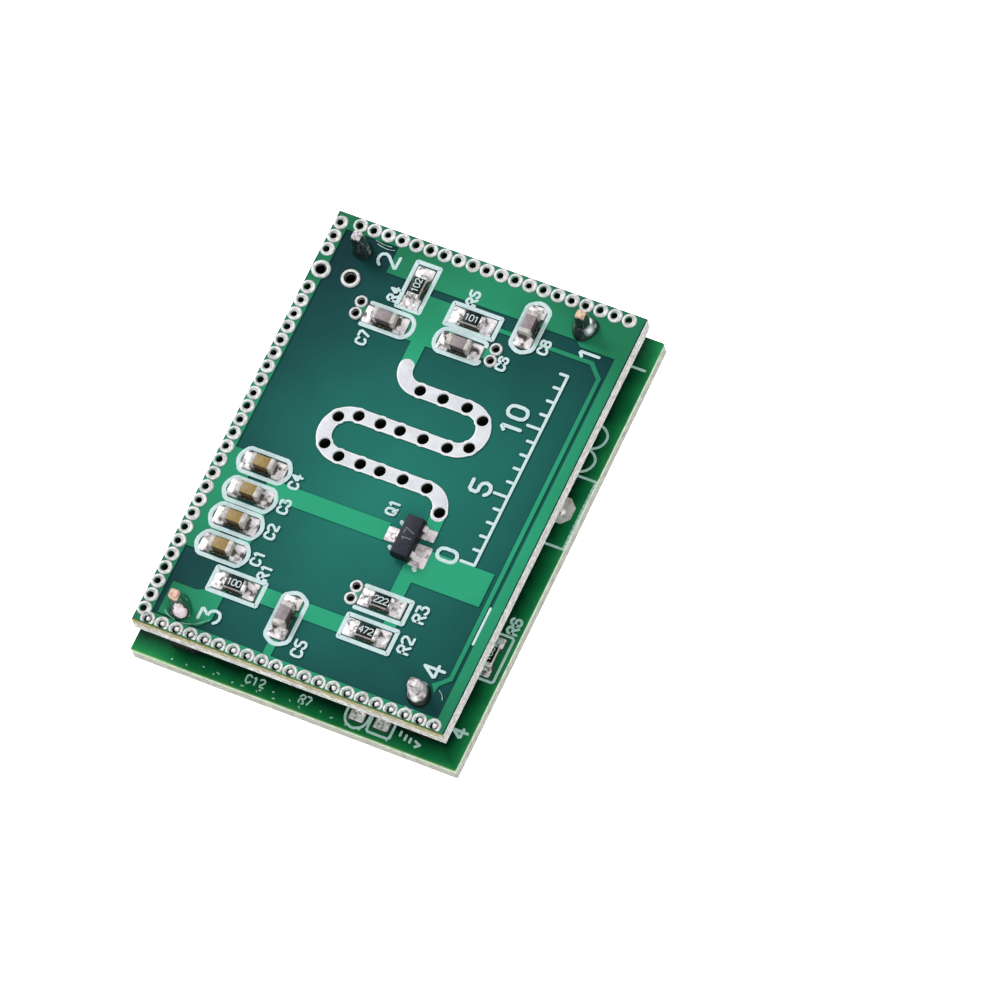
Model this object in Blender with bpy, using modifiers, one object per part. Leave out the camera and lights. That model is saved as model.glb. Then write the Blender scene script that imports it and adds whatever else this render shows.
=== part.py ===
# Microwave radar sensor module: an antenna board carried on four pins above a control board.
# Sizes are in millimetres and become metres in one place, in mm(). +Z is up and points out of
# the antenna side. The origin is on the control board's underside, below the antenna board's middle.
# Places on the boards are written as on a layout drawing: u to the right and v down, both from
# the top left corner of the antenna board.
import math

import bmesh
import bpy
from mathutils import Matrix, Vector

# Boards
ANTENNA_WIDTH = 21.8
ANTENNA_LENGTH = 30.65
ANTENNA_THICKNESS = 1.2
LEFT_OVERHANG = 0.6
RIGHT_OVERHANG = 0.5
TOP_OVERHANG = 0.37
BOTTOM_OVERHANG = 0.65
CONTROL_THICKNESS = 1.1
CONTROL_CORNER = 0.15
CONTROL_RIGHT = ANTENNA_WIDTH + RIGHT_OVERHANG
CONTROL_BOTTOM = ANTENNA_LENGTH + BOTTOM_OVERHANG
SPACER_HEIGHT = 2.6
SPACER_SIDE = 2.5
SPACER_CORNER = 0.45

# Clearances
SEAT = 0.02
HOLE_FIT = 0.02
MERGE = 0.0005
WELD = 1e-7
FLAT_ANGLE = 0.3
CUT_PAST = 1.0

# Copper
COPPER = 0.06
RING_LIFT = 0.04
EDGE_PULLBACK = 0.07

# Plated holes: radius of the bore, of the barrel and of its own ring, and the number of sides.
# A hole that lies in a copper area has no ring of its own.
FENCE_HOLE = (0.28, 0.34, None, 6)
PAIR_HOLE = (0.27, 0.34, 0.42, 6)
LARGE_HOLE = (0.39, 0.46, 0.63, 8)
TRACK_HOLE = (0.42, 0.47, None, 8)

# Rows of plated holes round the antenna board: first hole, and the line that the row stays behind
FENCE_PITCH = 1.0
FENCE_EDGE_GAP = 0.7
FENCE_INSET = 0.48
FENCE_END_INSET = 0.37
LARGE_HOLES = [(0.71, 4.25), (2.77, 4.17)]
LARGE_HOLE_GAP = 1.2
FENCE_ROW_GAP = 0.49
TOP_ROW = ((1.79, 0.55), ANTENNA_WIDTH - FENCE_EDGE_GAP)
LEFT_TOP_ROW = ((FENCE_INSET, 0.80), LARGE_HOLES[0][1] - LARGE_HOLE_GAP)
BOTTOM_ROW = ((1.0, ANTENNA_LENGTH - FENCE_END_INSET), ANTENNA_WIDTH - FENCE_EDGE_GAP)
LEFT_ROW = ((FENCE_INSET, 5.70), BOTTOM_ROW[0][1] - FENCE_ROW_GAP)

# Serpentine aerial track, as its centre line
TRACK_WIDTH = 1.0
TRACK_START = (8.82, 8.5)
TRACK_ROWS = (9.75, 12.75, 15.75)
TRACK_RIGHT = 13.87
TRACK_LEFT = 7.35
TRACK_FIRST_BEND = 1.25
TRACK_LAST_BEND = 1.4
TRACK_LAST_SHIFT = 0.14
TRACK_END = 17.15
LAST_HOLE_RISE = 0.15
BEND_STEPS = 5
ROW_HOLES = (7.45, 8.98, 10.36, 11.97, 13.67)
FIRST_ROW_HOLES = 3
BEND_HOLE_ANGLE = 42.0

# Copper areas, with their edges on the layout
BORDER_LEFT = 1.0
BORDER_TOP = 1.08
BORDER_BOTTOM = ANTENNA_LENGTH - 0.9
BORDER_RIGHT = ANTENNA_WIDTH - 0.77
TOP_POUR_LEFT = 4.75
TOP_POUR_EDGE = 2.97
TOP_POUR_STEP = (ANTENNA_WIDTH - 3.6, ANTENNA_WIDTH - 3.2, 3.33)
WINDOW_MARGIN = 0.2
FEED_MARGIN = 0.12
FEED_TOP = 3.5
NARROW_TRACK = 0.28
OUTPUT_ROW = 4.1
OUTPUT_COLUMN = BORDER_RIGHT - 0.38
OUTPUT_BEND = 0.8
OUTPUT_JOG = 0.65
OUTPUT_TURN = 1.58
OUTPUT_FLARE = ((0.95, 0.4), (0.55, 0.95))
OUTPUT_INNER = (0.3, 0.2, 0.15)
COLLECTOR_BAND = (-0.75, 0.5)
WING_GAPS = (0.45, 1.38)
NECK = (0.3, 1.25)
SUPPLY_POUR = (1.23, 2.22, 1.5, 0.77)
SUPPLY_CORNER = 0.7
SUPPLY_RISE = 0.3

# Chips: length, width, height, length of an end cap and how far the cap stands out
CAPACITOR_SIZE = (1.6, 0.8, 0.8, 0.35, 0.03)
RESISTOR_SIZE = (1.6, 0.8, 0.45, 0.3, 0.03)
PAD_LENGTH = 0.85
PAD_WIDTH = 1.2
PAD_SPAN = 3.0

# Chips on the antenna board: place and the way they lie. The lower ones keep to the lower edge.
FEED_CHIP_ROW = ANTENNA_LENGTH - 4.43
BIAS_CHIP_ROW = ANTENNA_LENGTH - 6.70
CAPACITOR_COLUMN = 3.33
CAPACITOR_FIRST = FEED_CHIP_ROW - 2.02
CAPACITOR_PITCH = 2.03
CAPACITORS = {
    "capacitor_1": (CAPACITOR_COLUMN, CAPACITOR_FIRST, "across"),
    "capacitor_2": (CAPACITOR_COLUMN, CAPACITOR_FIRST - CAPACITOR_PITCH, "across"),
    "capacitor_3": (CAPACITOR_COLUMN, CAPACITOR_FIRST - 2 * CAPACITOR_PITCH, "across"),
    "capacitor_4": (CAPACITOR_COLUMN, CAPACITOR_FIRST - 3 * CAPACITOR_PITCH, "across"),
    "capacitor_5": (9.10, FEED_CHIP_ROW + 0.83, "along"),
    "capacitor_6": (11.45, 6.08, "across"),
    "capacitor_7": (6.20, 6.08, "across"),
    "capacitor_8": (15.05, 3.20, "along"),
}
RESISTORS = {
    "resistor_1": (5.22, FEED_CHIP_ROW, "across"),
    "resistor_2": (14.42, FEED_CHIP_ROW - 0.07, "across"),
    "resistor_3": (14.42, BIAS_CHIP_ROW, "across"),
    "resistor_4": (7.15, 3.30, "along"),
    "resistor_5": (11.45, 4.15, "across"),
}

# Pairs of plated holes that ground a chip: the chip, which of its pads, and the upper hole from
# the chip's middle
HOLE_PAIRS = {
    "capacitor_7": (0, (-2.05, -0.66)),
    "capacitor_6": (1, (2.22, -0.68)),
    "resistor_3": (0, (-2.0, -0.47)),
}
PAIR_PITCH = 0.86

# Transistor on the antenna board
TRANSISTOR_AT = (14.25, 19.5)
TRANSISTOR_BODY = (1.3, 2.9, 0.95)
TRANSISTOR_SPAN = 2.4
TRANSISTOR_LEAD = (0.42, 0.12)
TRANSISTOR_PITCH = 1.9
TRANSISTOR_FOOT = 0.35
MOULD_DRAFT = 0.06
LEAD_ROOT = 0.25

# Edges of the transistor's pads, as u from its middle and v from the lead: left, upper and lower
TRANSISTOR_PADS = ((-1.65, -0.75, -0.55, 0.45), (0.45, 1.42, -0.3, 0.5), (0.45, 1.6, -0.85, 0.5))

# Pins that join the boards, from the nearest corner of the antenna board
PIN_INSETS = {"1": (3.42, 2.1), "2": (2.62, 2.12), "3": (2.6, 1.8), "4": (2.68, 1.97)}
PINS = {
    "1": (ANTENNA_WIDTH - PIN_INSETS["1"][0], PIN_INSETS["1"][1]),
    "2": PIN_INSETS["2"],
    "3": (PIN_INSETS["3"][0], ANTENNA_LENGTH - PIN_INSETS["3"][1]),
    "4": (ANTENNA_WIDTH - PIN_INSETS["4"][0], ANTENNA_LENGTH - PIN_INSETS["4"][1]),
}
PIN_SIDE = 0.6
PIN_CHAMFER = 0.08
PIN_ABOVE = {"1": 2.3, "2": 2.3, "3": 2.35, "4": 1.85}
PIN_BELOW = 1.3
PIN_HOLE = 0.5
PIN_HOLE_SIDES = 8
PINS_ON_COPPER = ("1", "3")
SOLDER_RADIUS = 0.82
SOLDER_NECK = 0.46
SOLDER_HEIGHT = 1.15
LOWER_SOLDER_HEIGHT = 0.95
SOLDER_SIDES = 10
SOLDER_PROFILE = ((1.0, 0.0), (0.93, 0.14), (0.78, 0.34), (0.66, 0.62))

# Header under the control board, and its row of pads
HEADER_PITCH = 2.0
HEADER_WAYS = 3
PAD_ROW_END = (CONTROL_RIGHT - 1.35, 12.6)
HEADER_MARGIN = 1.75
HEADER_WIDTH = 4.8
HEADER_HEIGHT = 5.0
HEADER_WALL = 0.7
HEADER_FLOOR = 1.4
HEADER_SLOT = 0.9
HEADER_SLOT_FROM_END = 1.3
HEADER_SLOT_SHORT = 0.6
CONTACT_SIDE = 0.5
CONTACT_SETBACK = 0.5
CONTACT_ABOVE = 0.9
HEADER_PAD_SIZE = (1.7, 1.85)
HEADER_PAD_CORNER = 0.5
HEADER_PAD_BORE = 0.42
HEADER_PAD_BARREL = 0.5

# Control chip, a sixteen-lead package
CONTROLLER_AT = (8.4, 15.6)
CONTROLLER_BODY = (3.9, 9.9, 1.45)
CONTROLLER_SPAN = 6.0
CONTROLLER_PITCH = 1.27
CONTROLLER_LEADS = 8
CONTROLLER_LEAD = (0.42, 0.2)
CONTROLLER_FOOT = 0.6
BODY_STANDOFF = 0.1

# Regulator, a flat three-lead package with a heat tab
REGULATOR_AT = (17.2, 20.6)
REGULATOR_BODY = (4.5, 2.5, 1.5)
REGULATOR_PITCH = 1.5
REGULATOR_LEAD = (0.48, 0.4)
REGULATOR_LEAD_REACH = 0.95
REGULATOR_TAB = (1.75, 0.75)

# Chips on the control board, on the side that faces the antenna board
EDGE_CHIP_INSET = 2.22
SIDE_CHIP_INSET = 1.25
CONTROL_CAPACITORS = {
    "capacitor_9": (14.92, CONTROL_BOTTOM - EDGE_CHIP_INSET, "along"),
    "capacitor_10": (13.4, 20.6, "along"),
    "capacitor_11": (13.4, 16.4, "along"),
    "capacitor_12": (3.2, 10.6, "along"),
}
CONTROL_RESISTORS = {
    "resistor_6": (CONTROL_RIGHT - SIDE_CHIP_INSET, 23.4, "along"),
    "resistor_7": (16.65, CONTROL_BOTTOM - EDGE_CHIP_INSET, "along"),
    "resistor_8": (3.2, 15.0, "along"),
    "resistor_9": (3.2, 19.4, "along"),
}

# Colours: base colour, roughness, metallic
FINISHES = {
    "board": ((0.02, 0.16, 0.12), 0.35, 0.0),
    "dark_board": ((0.0, 0.14, 0.05), 0.35, 0.0),
    "masked_copper": ((0.03, 0.33, 0.19), 0.35, 0.0),
    "tinned_copper": ((0.75, 0.74, 0.74), 0.4, 0.9),
    "solder": ((0.62, 0.62, 0.62), 0.25, 1.0),
    "pin_metal": ((0.8, 0.72, 0.62), 0.3, 1.0),
    "tan_ceramic": ((0.52, 0.38, 0.18), 0.5, 0.0),
    "mauve_ceramic": ((0.35, 0.28, 0.29), 0.5, 0.0),
    "black_glaze": ((0.02, 0.02, 0.02), 0.3, 0.0),
    "black_mould": ((0.03, 0.025, 0.04), 0.5, 0.0),
    "black_plastic": ((0.015, 0.015, 0.015), 0.45, 0.0),
    "white_nylon": ((0.82, 0.8, 0.74), 0.5, 0.0),
}

CONTROL_TOP = CONTROL_THICKNESS
ANTENNA_BOTTOM = CONTROL_TOP + SPACER_HEIGHT + 2 * SEAT
ANTENNA_TOP = ANTENNA_BOTTOM + ANTENNA_THICKNESS
COPPER_BASE = ANTENNA_TOP + SEAT
COPPER_TOP = COPPER_BASE + COPPER
PLANE_TOP = ANTENNA_BOTTOM - SEAT
PLANE_BASE = PLANE_TOP - COPPER
CHIP_BASE = COPPER_TOP + SEAT
CONTROL_CHIP_BASE = CONTROL_TOP + COPPER


def mm(value):
    return value * 0.001


def at(u, v, z=0.0):
    """A layout place and a height as a point of the model, in metres."""
    return Vector((mm(u - ANTENNA_WIDTH / 2), mm(ANTENNA_LENGTH / 2 - v), mm(z)))


def clear_scene():
    for old in list(bpy.data.objects):
        bpy.data.objects.remove(old, do_unlink=True)
    for name in ("radar_sensor_module", "cutters"):
        group = bpy.data.collections.get(name)
        if group:
            bpy.data.collections.remove(group)


clear_scene()
MODULE = bpy.data.collections.new("radar_sensor_module")
CUTTERS = bpy.data.collections.new("cutters")
bpy.context.scene.collection.children.link(MODULE)
bpy.context.scene.collection.children.link(CUTTERS)


def finish_material(name):
    """The material of one finish, made once."""
    found = bpy.data.materials.get(name)
    if found:
        return found
    colour, roughness, metallic = FINISHES[name]
    made = bpy.data.materials.new(name)
    made.use_nodes = True
    shader = made.node_tree.nodes["Principled BSDF"]
    shader.inputs["Base Color"].default_value = (*colour, 1.0)
    shader.inputs["Roughness"].default_value = roughness
    shader.inputs["Metallic"].default_value = metallic
    return made


def add_object(name, data, finish=None):
    """Link an object to the module, or to the cutters where it has no finish."""
    made = bpy.data.objects.new(name, data)
    if finish:
        MODULE.objects.link(made)
        made.data.materials.append(finish_material(finish))
    else:
        CUTTERS.objects.link(made)
        made.hide_render = True
        made.display_type = "WIRE"
    return made


def solid_of(guide):
    """The closed mesh of a curve object in world space; the curve is removed."""
    bpy.context.view_layer.update()
    graph = bpy.context.evaluated_depsgraph_get()
    mesh = bpy.data.meshes.new_from_object(guide.evaluated_get(graph))
    mesh.transform(guide.matrix_world)
    bpy.data.objects.remove(guide, do_unlink=True)
    shape = bmesh.new()
    shape.from_mesh(mesh)
    bmesh.ops.remove_doubles(shape, verts=shape.verts, dist=WELD)
    bmesh.ops.recalc_face_normals(shape, faces=shape.faces)
    shape.to_mesh(mesh)
    shape.free()
    return mesh


def outlines_mesh(name, loops, base, top):
    """One mesh of flat outlines drawn on the layout, between two heights."""
    curve = bpy.data.curves.new(name + "_outline", "CURVE")
    curve.dimensions = "2D"
    curve.fill_mode = "BOTH"
    curve.extrude = mm(top - base) / 2
    for outline in loops:
        loop = [place for place, before in zip(outline, outline[-1:] + outline[:-1])
                if math.dist(place, before) > MERGE]
        spline = curve.splines.new("POLY")
        spline.points.add(len(loop) - 1)
        spline.use_cyclic_u = True
        for point, (u, v) in zip(spline.points, loop):
            point.co = (*at(u, v).to_2d(), 0.0, 1.0)
    guide = add_object(name + "_outline", curve)
    guide.location.z = mm(base + top) / 2
    mesh = solid_of(guide)
    mesh.name = name
    return mesh


def boxes_mesh(name, boxes):
    """One mesh of boxes, each given by its centre in metres and its size in millimetres."""
    shape = bmesh.new()
    for centre, (width, depth, height) in boxes:
        scale = Matrix.Diagonal((mm(width), mm(depth), mm(height), 1.0))
        bmesh.ops.create_cube(shape, size=1.0, matrix=Matrix.Translation(centre) @ scale)
    made = bpy.data.meshes.new(name)
    shape.to_mesh(made)
    shape.free()
    return made


def rods_mesh(name, rods):
    """One mesh of upright rods: place, radius, number of sides, base and top of each."""
    shape = bmesh.new()
    for place, radius, sides, base, top in rods:
        turn = Matrix.Rotation(math.pi / sides, 4, "Z")
        move = Matrix.Translation(at(*place, (base + top) / 2))
        bmesh.ops.create_cone(shape, cap_ends=True, segments=sides, radius1=mm(radius),
                              radius2=mm(radius), depth=mm(top - base), matrix=move @ turn)
    made = bpy.data.meshes.new(name)
    shape.to_mesh(made)
    shape.free()
    return made


def eyelets_mesh(name, holes):
    """Plated holes before they are bored: a barrel down into the plane, some with a ring."""
    copper_middle = (COPPER_BASE + COPPER_TOP) / 2
    plane_middle = (PLANE_BASE + PLANE_TOP) / 2
    ring_top = COPPER_TOP + RING_LIFT
    rods = []
    for place, (_, barrel, ring, sides) in holes:
        barrel_top = COPPER_TOP if ring else copper_middle
        rods.append((place, barrel, sides, plane_middle, barrel_top))
        if ring:
            rods.append((place, ring, sides, copper_middle, ring_top))
    return rods_mesh(name, rods)


def combine(target, other, operation):
    """Add a Boolean modifier that joins, cuts or trims the target with another object."""
    step = target.modifiers.new(operation.lower() + "_" + other.name, "BOOLEAN")
    step.operation = operation
    step.solver = "EXACT"
    step.object = other
    return step


def rectangle(u0, v0, u1, v1):
    return [(u0, v0), (u1, v0), (u1, v1), (u0, v1)]


def arc(centre, radius, first, last, steps=BEND_STEPS):
    """Points along an arc on the layout, with angles in degrees from +u towards +v."""
    points = []
    for step in range(steps + 1):
        angle = math.radians(first + (last - first) * step / steps)
        points.append((centre[0] + radius * math.cos(angle), centre[1] + radius * math.sin(angle)))
    return points


def hole_row(row, axis):
    """Places of a row of plated holes along u (axis 0) or v (axis 1), one fence pitch apart."""
    (u, v), stop = row
    count = int((stop - (u, v)[axis]) / FENCE_PITCH) + 1
    steps = [step * FENCE_PITCH for step in range(count)]
    return [(u, v + step) if axis else (u + step, v) for step in steps]


def pair_place(chip):
    """The upper hole of the pair that grounds a chip."""
    u, v, _ = {**CAPACITORS, **RESISTORS}[chip]
    shift = HOLE_PAIRS[chip][1]
    return (u + shift[0], v + shift[1])


def ground_holes():
    """Every plated hole of the ground copper, with its radii."""
    fence = hole_row(TOP_ROW, 0) + hole_row(LEFT_TOP_ROW, 1)
    fence += hole_row(LEFT_ROW, 1) + hole_row(BOTTOM_ROW, 0)
    holes = [(place, FENCE_HOLE) for place in fence]
    holes += [(place, LARGE_HOLE) for place in LARGE_HOLES]
    for chip in HOLE_PAIRS:
        u, v = pair_place(chip)
        holes += [((u, v), PAIR_HOLE), ((u, v + PAIR_PITCH), PAIR_HOLE)]
    return holes


def bend_radius(upper, lower):
    return (TRACK_ROWS[lower] - TRACK_ROWS[upper]) / 2


def bend_centre(end, upper, lower):
    return (end, (TRACK_ROWS[upper] + TRACK_ROWS[lower]) / 2)


def track_holes():
    """Plated holes along the serpentine track, row by row and two in each full bend."""
    places = [(u, TRACK_ROWS[0]) for u in ROW_HOLES[-FIRST_ROW_HOLES:]]
    for upper, lower, end, facing in ((0, 1, TRACK_RIGHT, 0.0), (1, 2, TRACK_LEFT, 180.0)):
        centre = bend_centre(end, upper, lower)
        radius = bend_radius(upper, lower)
        places += arc(centre, radius, facing - BEND_HOLE_ANGLE, facing + BEND_HOLE_ANGLE, 1)
        places += [(u, TRACK_ROWS[lower]) for u in ROW_HOLES]
    places.append((TRACK_RIGHT - TRACK_LAST_SHIFT + TRACK_LAST_BEND, TRACK_END - LAST_HOLE_RISE))
    return [(place, TRACK_HOLE) for place in places]


def track_outline():
    """The serpentine's two edges: its centre line moved half a width to each side."""
    half = TRACK_WIDTH / 2
    first = (TRACK_START[0] + TRACK_FIRST_BEND, TRACK_ROWS[0] - TRACK_FIRST_BEND)
    last = (TRACK_RIGHT - TRACK_LAST_SHIFT, TRACK_ROWS[2] + TRACK_LAST_BEND)
    right = bend_centre(TRACK_RIGHT, 0, 1)
    left = bend_centre(TRACK_LEFT, 1, 2)
    bends = [(first, TRACK_FIRST_BEND, 180, 90), (right, bend_radius(0, 1), -90, 90),
             (left, bend_radius(1, 2), 270, 90), (last, TRACK_LAST_BEND, -90, 0)]
    outer, inner = [], []
    for centre, radius, start, stop in bends:
        steps = BEND_STEPS * round(abs(stop - start) / 90)
        turn = 1 if stop > start else -1
        outer += arc(centre, radius + turn * half, start, stop, steps)
        inner += arc(centre, radius - turn * half, start, stop, steps)
    return outer, inner


def pads(place, lie, size=(PAD_LENGTH, PAD_WIDTH), span=PAD_SPAN):
    """The two solder pads of a chip, first the left or upper one."""
    u, v = place
    length, width = size
    reach = (span - length) / 2
    if lie == "across":
        return [rectangle(u + s * reach - length / 2, v - width / 2,
                          u + s * reach + length / 2, v + width / 2) for s in (-1, 1)]
    return [rectangle(u - width / 2, v + s * reach - length / 2,
                      u + width / 2, v + s * reach + length / 2) for s in (-1, 1)]


def pad_of(name, side):
    """One pad of a chip on the antenna board as (u0, v0, u1, v1); side 0 is left or upper."""
    u, v, lie = {**CAPACITORS, **RESISTORS}[name]
    corners = pads((u, v), lie)[side]
    return (*corners[0], *corners[2])


def pin_clearances(names, base, top):
    return [(PINS[name], PIN_HOLE, PIN_HOLE_SIDES, base, top) for name in names]


def copper_piece(name, loops, holes, pin_names, finish, underside=None):
    """A piece of copper: flat areas joined with their plated holes, and then bored."""
    piece = add_object(name, outlines_mesh(name, loops, COPPER_BASE, COPPER_TOP), finish)
    if underside:
        combine(piece, add_object(underside.name, underside), "UNION")
    if holes:
        barrels = add_object(name + "_barrels", eyelets_mesh(name + "_barrels", holes))
        combine(piece, barrels, "UNION").use_self = True
    base, top = PLANE_BASE - CUT_PAST, COPPER_TOP + CUT_PAST
    bores = [(place, radii[0], radii[-1], base, top) for place, radii in holes]
    bores += pin_clearances(pin_names, base, top)
    if bores:
        cutter = add_object(name + "_bores", rods_mesh(name + "_bores", bores))
        combine(piece, cutter, "DIFFERENCE")
    return piece


def flatten_faces(piece):
    """Join the flat faces that the cuts left in pieces."""
    step = piece.modifiers.new("flat_faces", "DECIMATE")
    step.decimate_type = "DISSOLVE"
    step.angle_limit = math.radians(FLAT_ANGLE)


def ground_outline():
    """The inner edge of the ground border, round the areas that reach inwards from it."""
    step_left, step_right, step_edge = TOP_POUR_STEP
    c4 = pad_of("capacitor_4", 0)
    c1 = pad_of("capacitor_1", 0)
    c5 = pad_of("capacitor_5", 1)
    stub = NARROW_TRACK
    c5_middle = CAPACITORS["capacitor_5"][0]
    return [
        (BORDER_LEFT, BORDER_TOP), (TOP_POUR_LEFT, BORDER_TOP), (TOP_POUR_LEFT, TOP_POUR_EDGE),
        (step_left, TOP_POUR_EDGE), (step_right, step_edge), (BORDER_RIGHT, step_edge),
        (BORDER_RIGHT, BORDER_BOTTOM), (c5_middle + stub, BORDER_BOTTOM),
        (c5_middle + stub, c5[3]), (c5[2], c5[3]), (c5[2], c5[1]), (c5[0], c5[1]),
        (c5[0], c5[3]), (c5_middle - stub, c5[3]), (c5_middle - stub, BORDER_BOTTOM),
        (BORDER_LEFT, BORDER_BOTTOM), (BORDER_LEFT, c1[3]), (c1[2], c1[3]), (c4[2], c4[1]),
        (BORDER_LEFT, c4[1]),
    ]


def hole_pair_link(chip):
    """The copper between a chip's pad and the pair of plated holes beside it."""
    u, v = pair_place(chip)
    side = HOLE_PAIRS[chip][0]
    u0, v0, u1, v1 = pad_of(chip, side)
    upper, lower = max(v0, v), min(v1, v + PAIR_PITCH)
    if side == 0:
        return [(u, upper), (u0, upper), (u0, v0), (u1, v0), (u1, v1), (u0, v1), (u0, lower),
                (u, lower)]
    return [(u, upper), (u, lower), (u1, lower), (u1, v1), (u0, v1), (u0, v0), (u1, v0),
            (u1, upper)]


def make_ground_plane():
    """Border, pours and underside plane, joined through the board by the plated holes."""
    edge = EDGE_PULLBACK
    frame = rectangle(0, 0, ANTENNA_WIDTH, ANTENNA_LENGTH)
    end_reach = TRACK_WIDTH / 2 + WINDOW_MARGIN
    side_reach = bend_radius(0, 1) + end_reach
    window = rectangle(TRACK_LEFT - side_reach, TRACK_START[1] - end_reach,
                       TRACK_RIGHT + side_reach, TRACK_END + end_reach)
    plane = outlines_mesh("ground_underside", [frame, window], PLANE_BASE, PLANE_TOP)
    links = [hole_pair_link(chip) for chip in HOLE_PAIRS]
    ground = copper_piece("ground_plane", [frame, ground_outline(), *links], ground_holes(),
                          PINS, "masked_copper", plane)
    size = (ANTENNA_WIDTH - 2 * edge, ANTENNA_LENGTH - 2 * edge, 2 * ANTENNA_TOP)
    middle = at(ANTENNA_WIDTH / 2, ANTENNA_LENGTH / 2, (COPPER_TOP + PLANE_BASE) / 2)
    trim = boxes_mesh("ground_trim", [(middle, size)])
    combine(ground, add_object("ground_trim", trim), "INTERSECT")
    flatten_faces(ground)


def transistor_pads():
    """Pads of the transistor: left, upper right and lower right."""
    u, v = TRANSISTOR_AT
    half = TRANSISTOR_PITCH / 2
    found = []
    for (u0, u1, v0, v1), shift in zip(TRANSISTOR_PADS, (0.0, -half, half)):
        found.append(rectangle(u + u0, v + shift + v0, u + u1, v + shift + v1))
    return found


def make_antenna_track():
    """The serpentine with its feed area, its chip pads and the stub to the transistor."""
    r4 = pad_of("resistor_4", 1)
    c7 = pad_of("capacitor_7", 1)
    r5 = pad_of("resistor_5", 0)
    c6 = pad_of("capacitor_6", 0)
    outer, inner = track_outline()
    feed_edge = c7[3] + FEED_MARGIN
    feed = [
        (c7[0], feed_edge), (c7[0], r4[3]), (r4[0], r4[3]), (r4[0], r4[1]), (r4[2], r4[1]),
        (r4[2], FEED_TOP), (r5[2], FEED_TOP), (c6[2], c6[1]), (c6[2], feed_edge),
    ]
    pad = transistor_pads()[1]
    stub = [pad[1], pad[2], pad[3], pad[0]]
    loop = outer + stub + inner[::-1] + [(inner[0][0], feed_edge)] + feed
    loop.append((outer[0][0], feed_edge))
    copper_piece("antenna_track", [loop], track_holes(), (), "tinned_copper")


def make_collector_track():
    """From the four grouped capacitors to the transistor's single lead."""
    top = pad_of("capacitor_4", 1)
    bottom = pad_of("capacitor_1", 1)
    left_pad = transistor_pads()[0]
    band_top, band_bottom = [TRANSISTOR_AT[1] + edge for edge in COLLECTOR_BAND]
    area = [
        (top[0], top[1]), (top[2], top[1]), (top[2], band_top), (left_pad[0][0], band_top),
        *left_pad, (left_pad[3][0], band_bottom), (bottom[2], band_bottom),
        (bottom[2], bottom[3]), (bottom[0], bottom[3]),
    ]
    copper_piece("collector_track", [area], [], (), "masked_copper")


def make_base_track():
    """From the transistor's lower right lead to two resistors, with a wide tuning area."""
    lower_right = transistor_pads()[2]
    r3 = pad_of("resistor_3", 1)
    r2 = pad_of("resistor_2", 1)
    wing_right = OUTPUT_COLUMN - WING_GAPS[0]
    wing_top = lower_right[0][1]
    wing_bottom = r3[1] - WING_GAPS[1]
    neck = [TRANSISTOR_AT[0] + edge for edge in NECK]
    area = [
        (lower_right[0][0], wing_top), (wing_right, wing_top), (wing_right, wing_bottom),
        (neck[1], wing_bottom), (neck[1], r3[1]), (r3[2], r3[1]), (r3[2], r2[3]), (r2[0], r2[3]),
        (r2[0], r3[1]), (neck[0], r3[1]), (neck[0], lower_right[2][1]),
        (lower_right[0][0], lower_right[2][1]),
    ]
    copper_piece("base_track", [area], [], (), "masked_copper")


def make_output_track():
    """From resistor 5 past capacitor 8 and down the right side to pin 4."""
    half = NARROW_TRACK / 2
    r5 = pad_of("resistor_5", 1)
    c8 = pad_of("capacitor_8", 1)
    outer, inner = OUTPUT_COLUMN + half, OUTPUT_COLUMN - half
    bend = OUTPUT_BEND
    pin_u, pin_v = PINS["4"]
    down = pin_v - OUTPUT_TURN
    flare = [(pin_u + along, pin_v - up) for along, up in OUTPUT_FLARE]
    inner_shift, inner_drop, inner_rise = OUTPUT_INNER
    area = [
        (r5[0], r5[1]), (r5[2], r5[1]), (r5[2], OUTPUT_ROW - half), (c8[0], OUTPUT_ROW - half),
        (c8[0], c8[1]), (c8[2], c8[1]), (c8[2], OUTPUT_ROW - half),
        (inner - bend + half, OUTPUT_ROW - half), (outer, OUTPUT_ROW + bend), (outer, down),
        (outer - OUTPUT_JOG, down + OUTPUT_JOG), *flare,
        (inner - inner_shift, down + inner_drop), (inner, down - inner_rise),
        (inner, OUTPUT_ROW + bend + half),
        (inner - bend, OUTPUT_ROW + half), (c8[2], OUTPUT_ROW + half), (c8[2], c8[3]),
        (c8[0], c8[3]), (c8[0], OUTPUT_ROW + half), (r5[2], OUTPUT_ROW + half), (r5[2], r5[3]),
        (r5[0], r5[3]),
    ]
    copper_piece("output_track", [area], [], (), "masked_copper")


def make_supply_track():
    """From pin 3 to the first resistor."""
    r1 = pad_of("resistor_1", 0)
    u, v = PINS["3"]
    left, right = u - SUPPLY_POUR[0], u + SUPPLY_POUR[1]
    top, bottom = v - SUPPLY_POUR[2], v + SUPPLY_POUR[3]
    corner = SUPPLY_CORNER
    area = [
        (left, top), (r1[0] - corner, top), (r1[0], top - SUPPLY_RISE), (r1[0], r1[1]), (r1[2], r1[1]),
        (r1[2], r1[3]), (right, r1[3]), (right, bottom - corner), (right - corner, bottom),
        (left, bottom),
    ]
    copper_piece("supply_track", [area], [], ("3",), "masked_copper")


def make_feed_track():
    """From resistor 1 past capacitor 5 to resistor 2."""
    r1 = pad_of("resistor_1", 1)
    r2 = pad_of("resistor_2", 0)
    copper_piece("feed_track", [rectangle(r1[0], r1[1], r2[2], r2[3])], [], (), "masked_copper")


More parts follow.
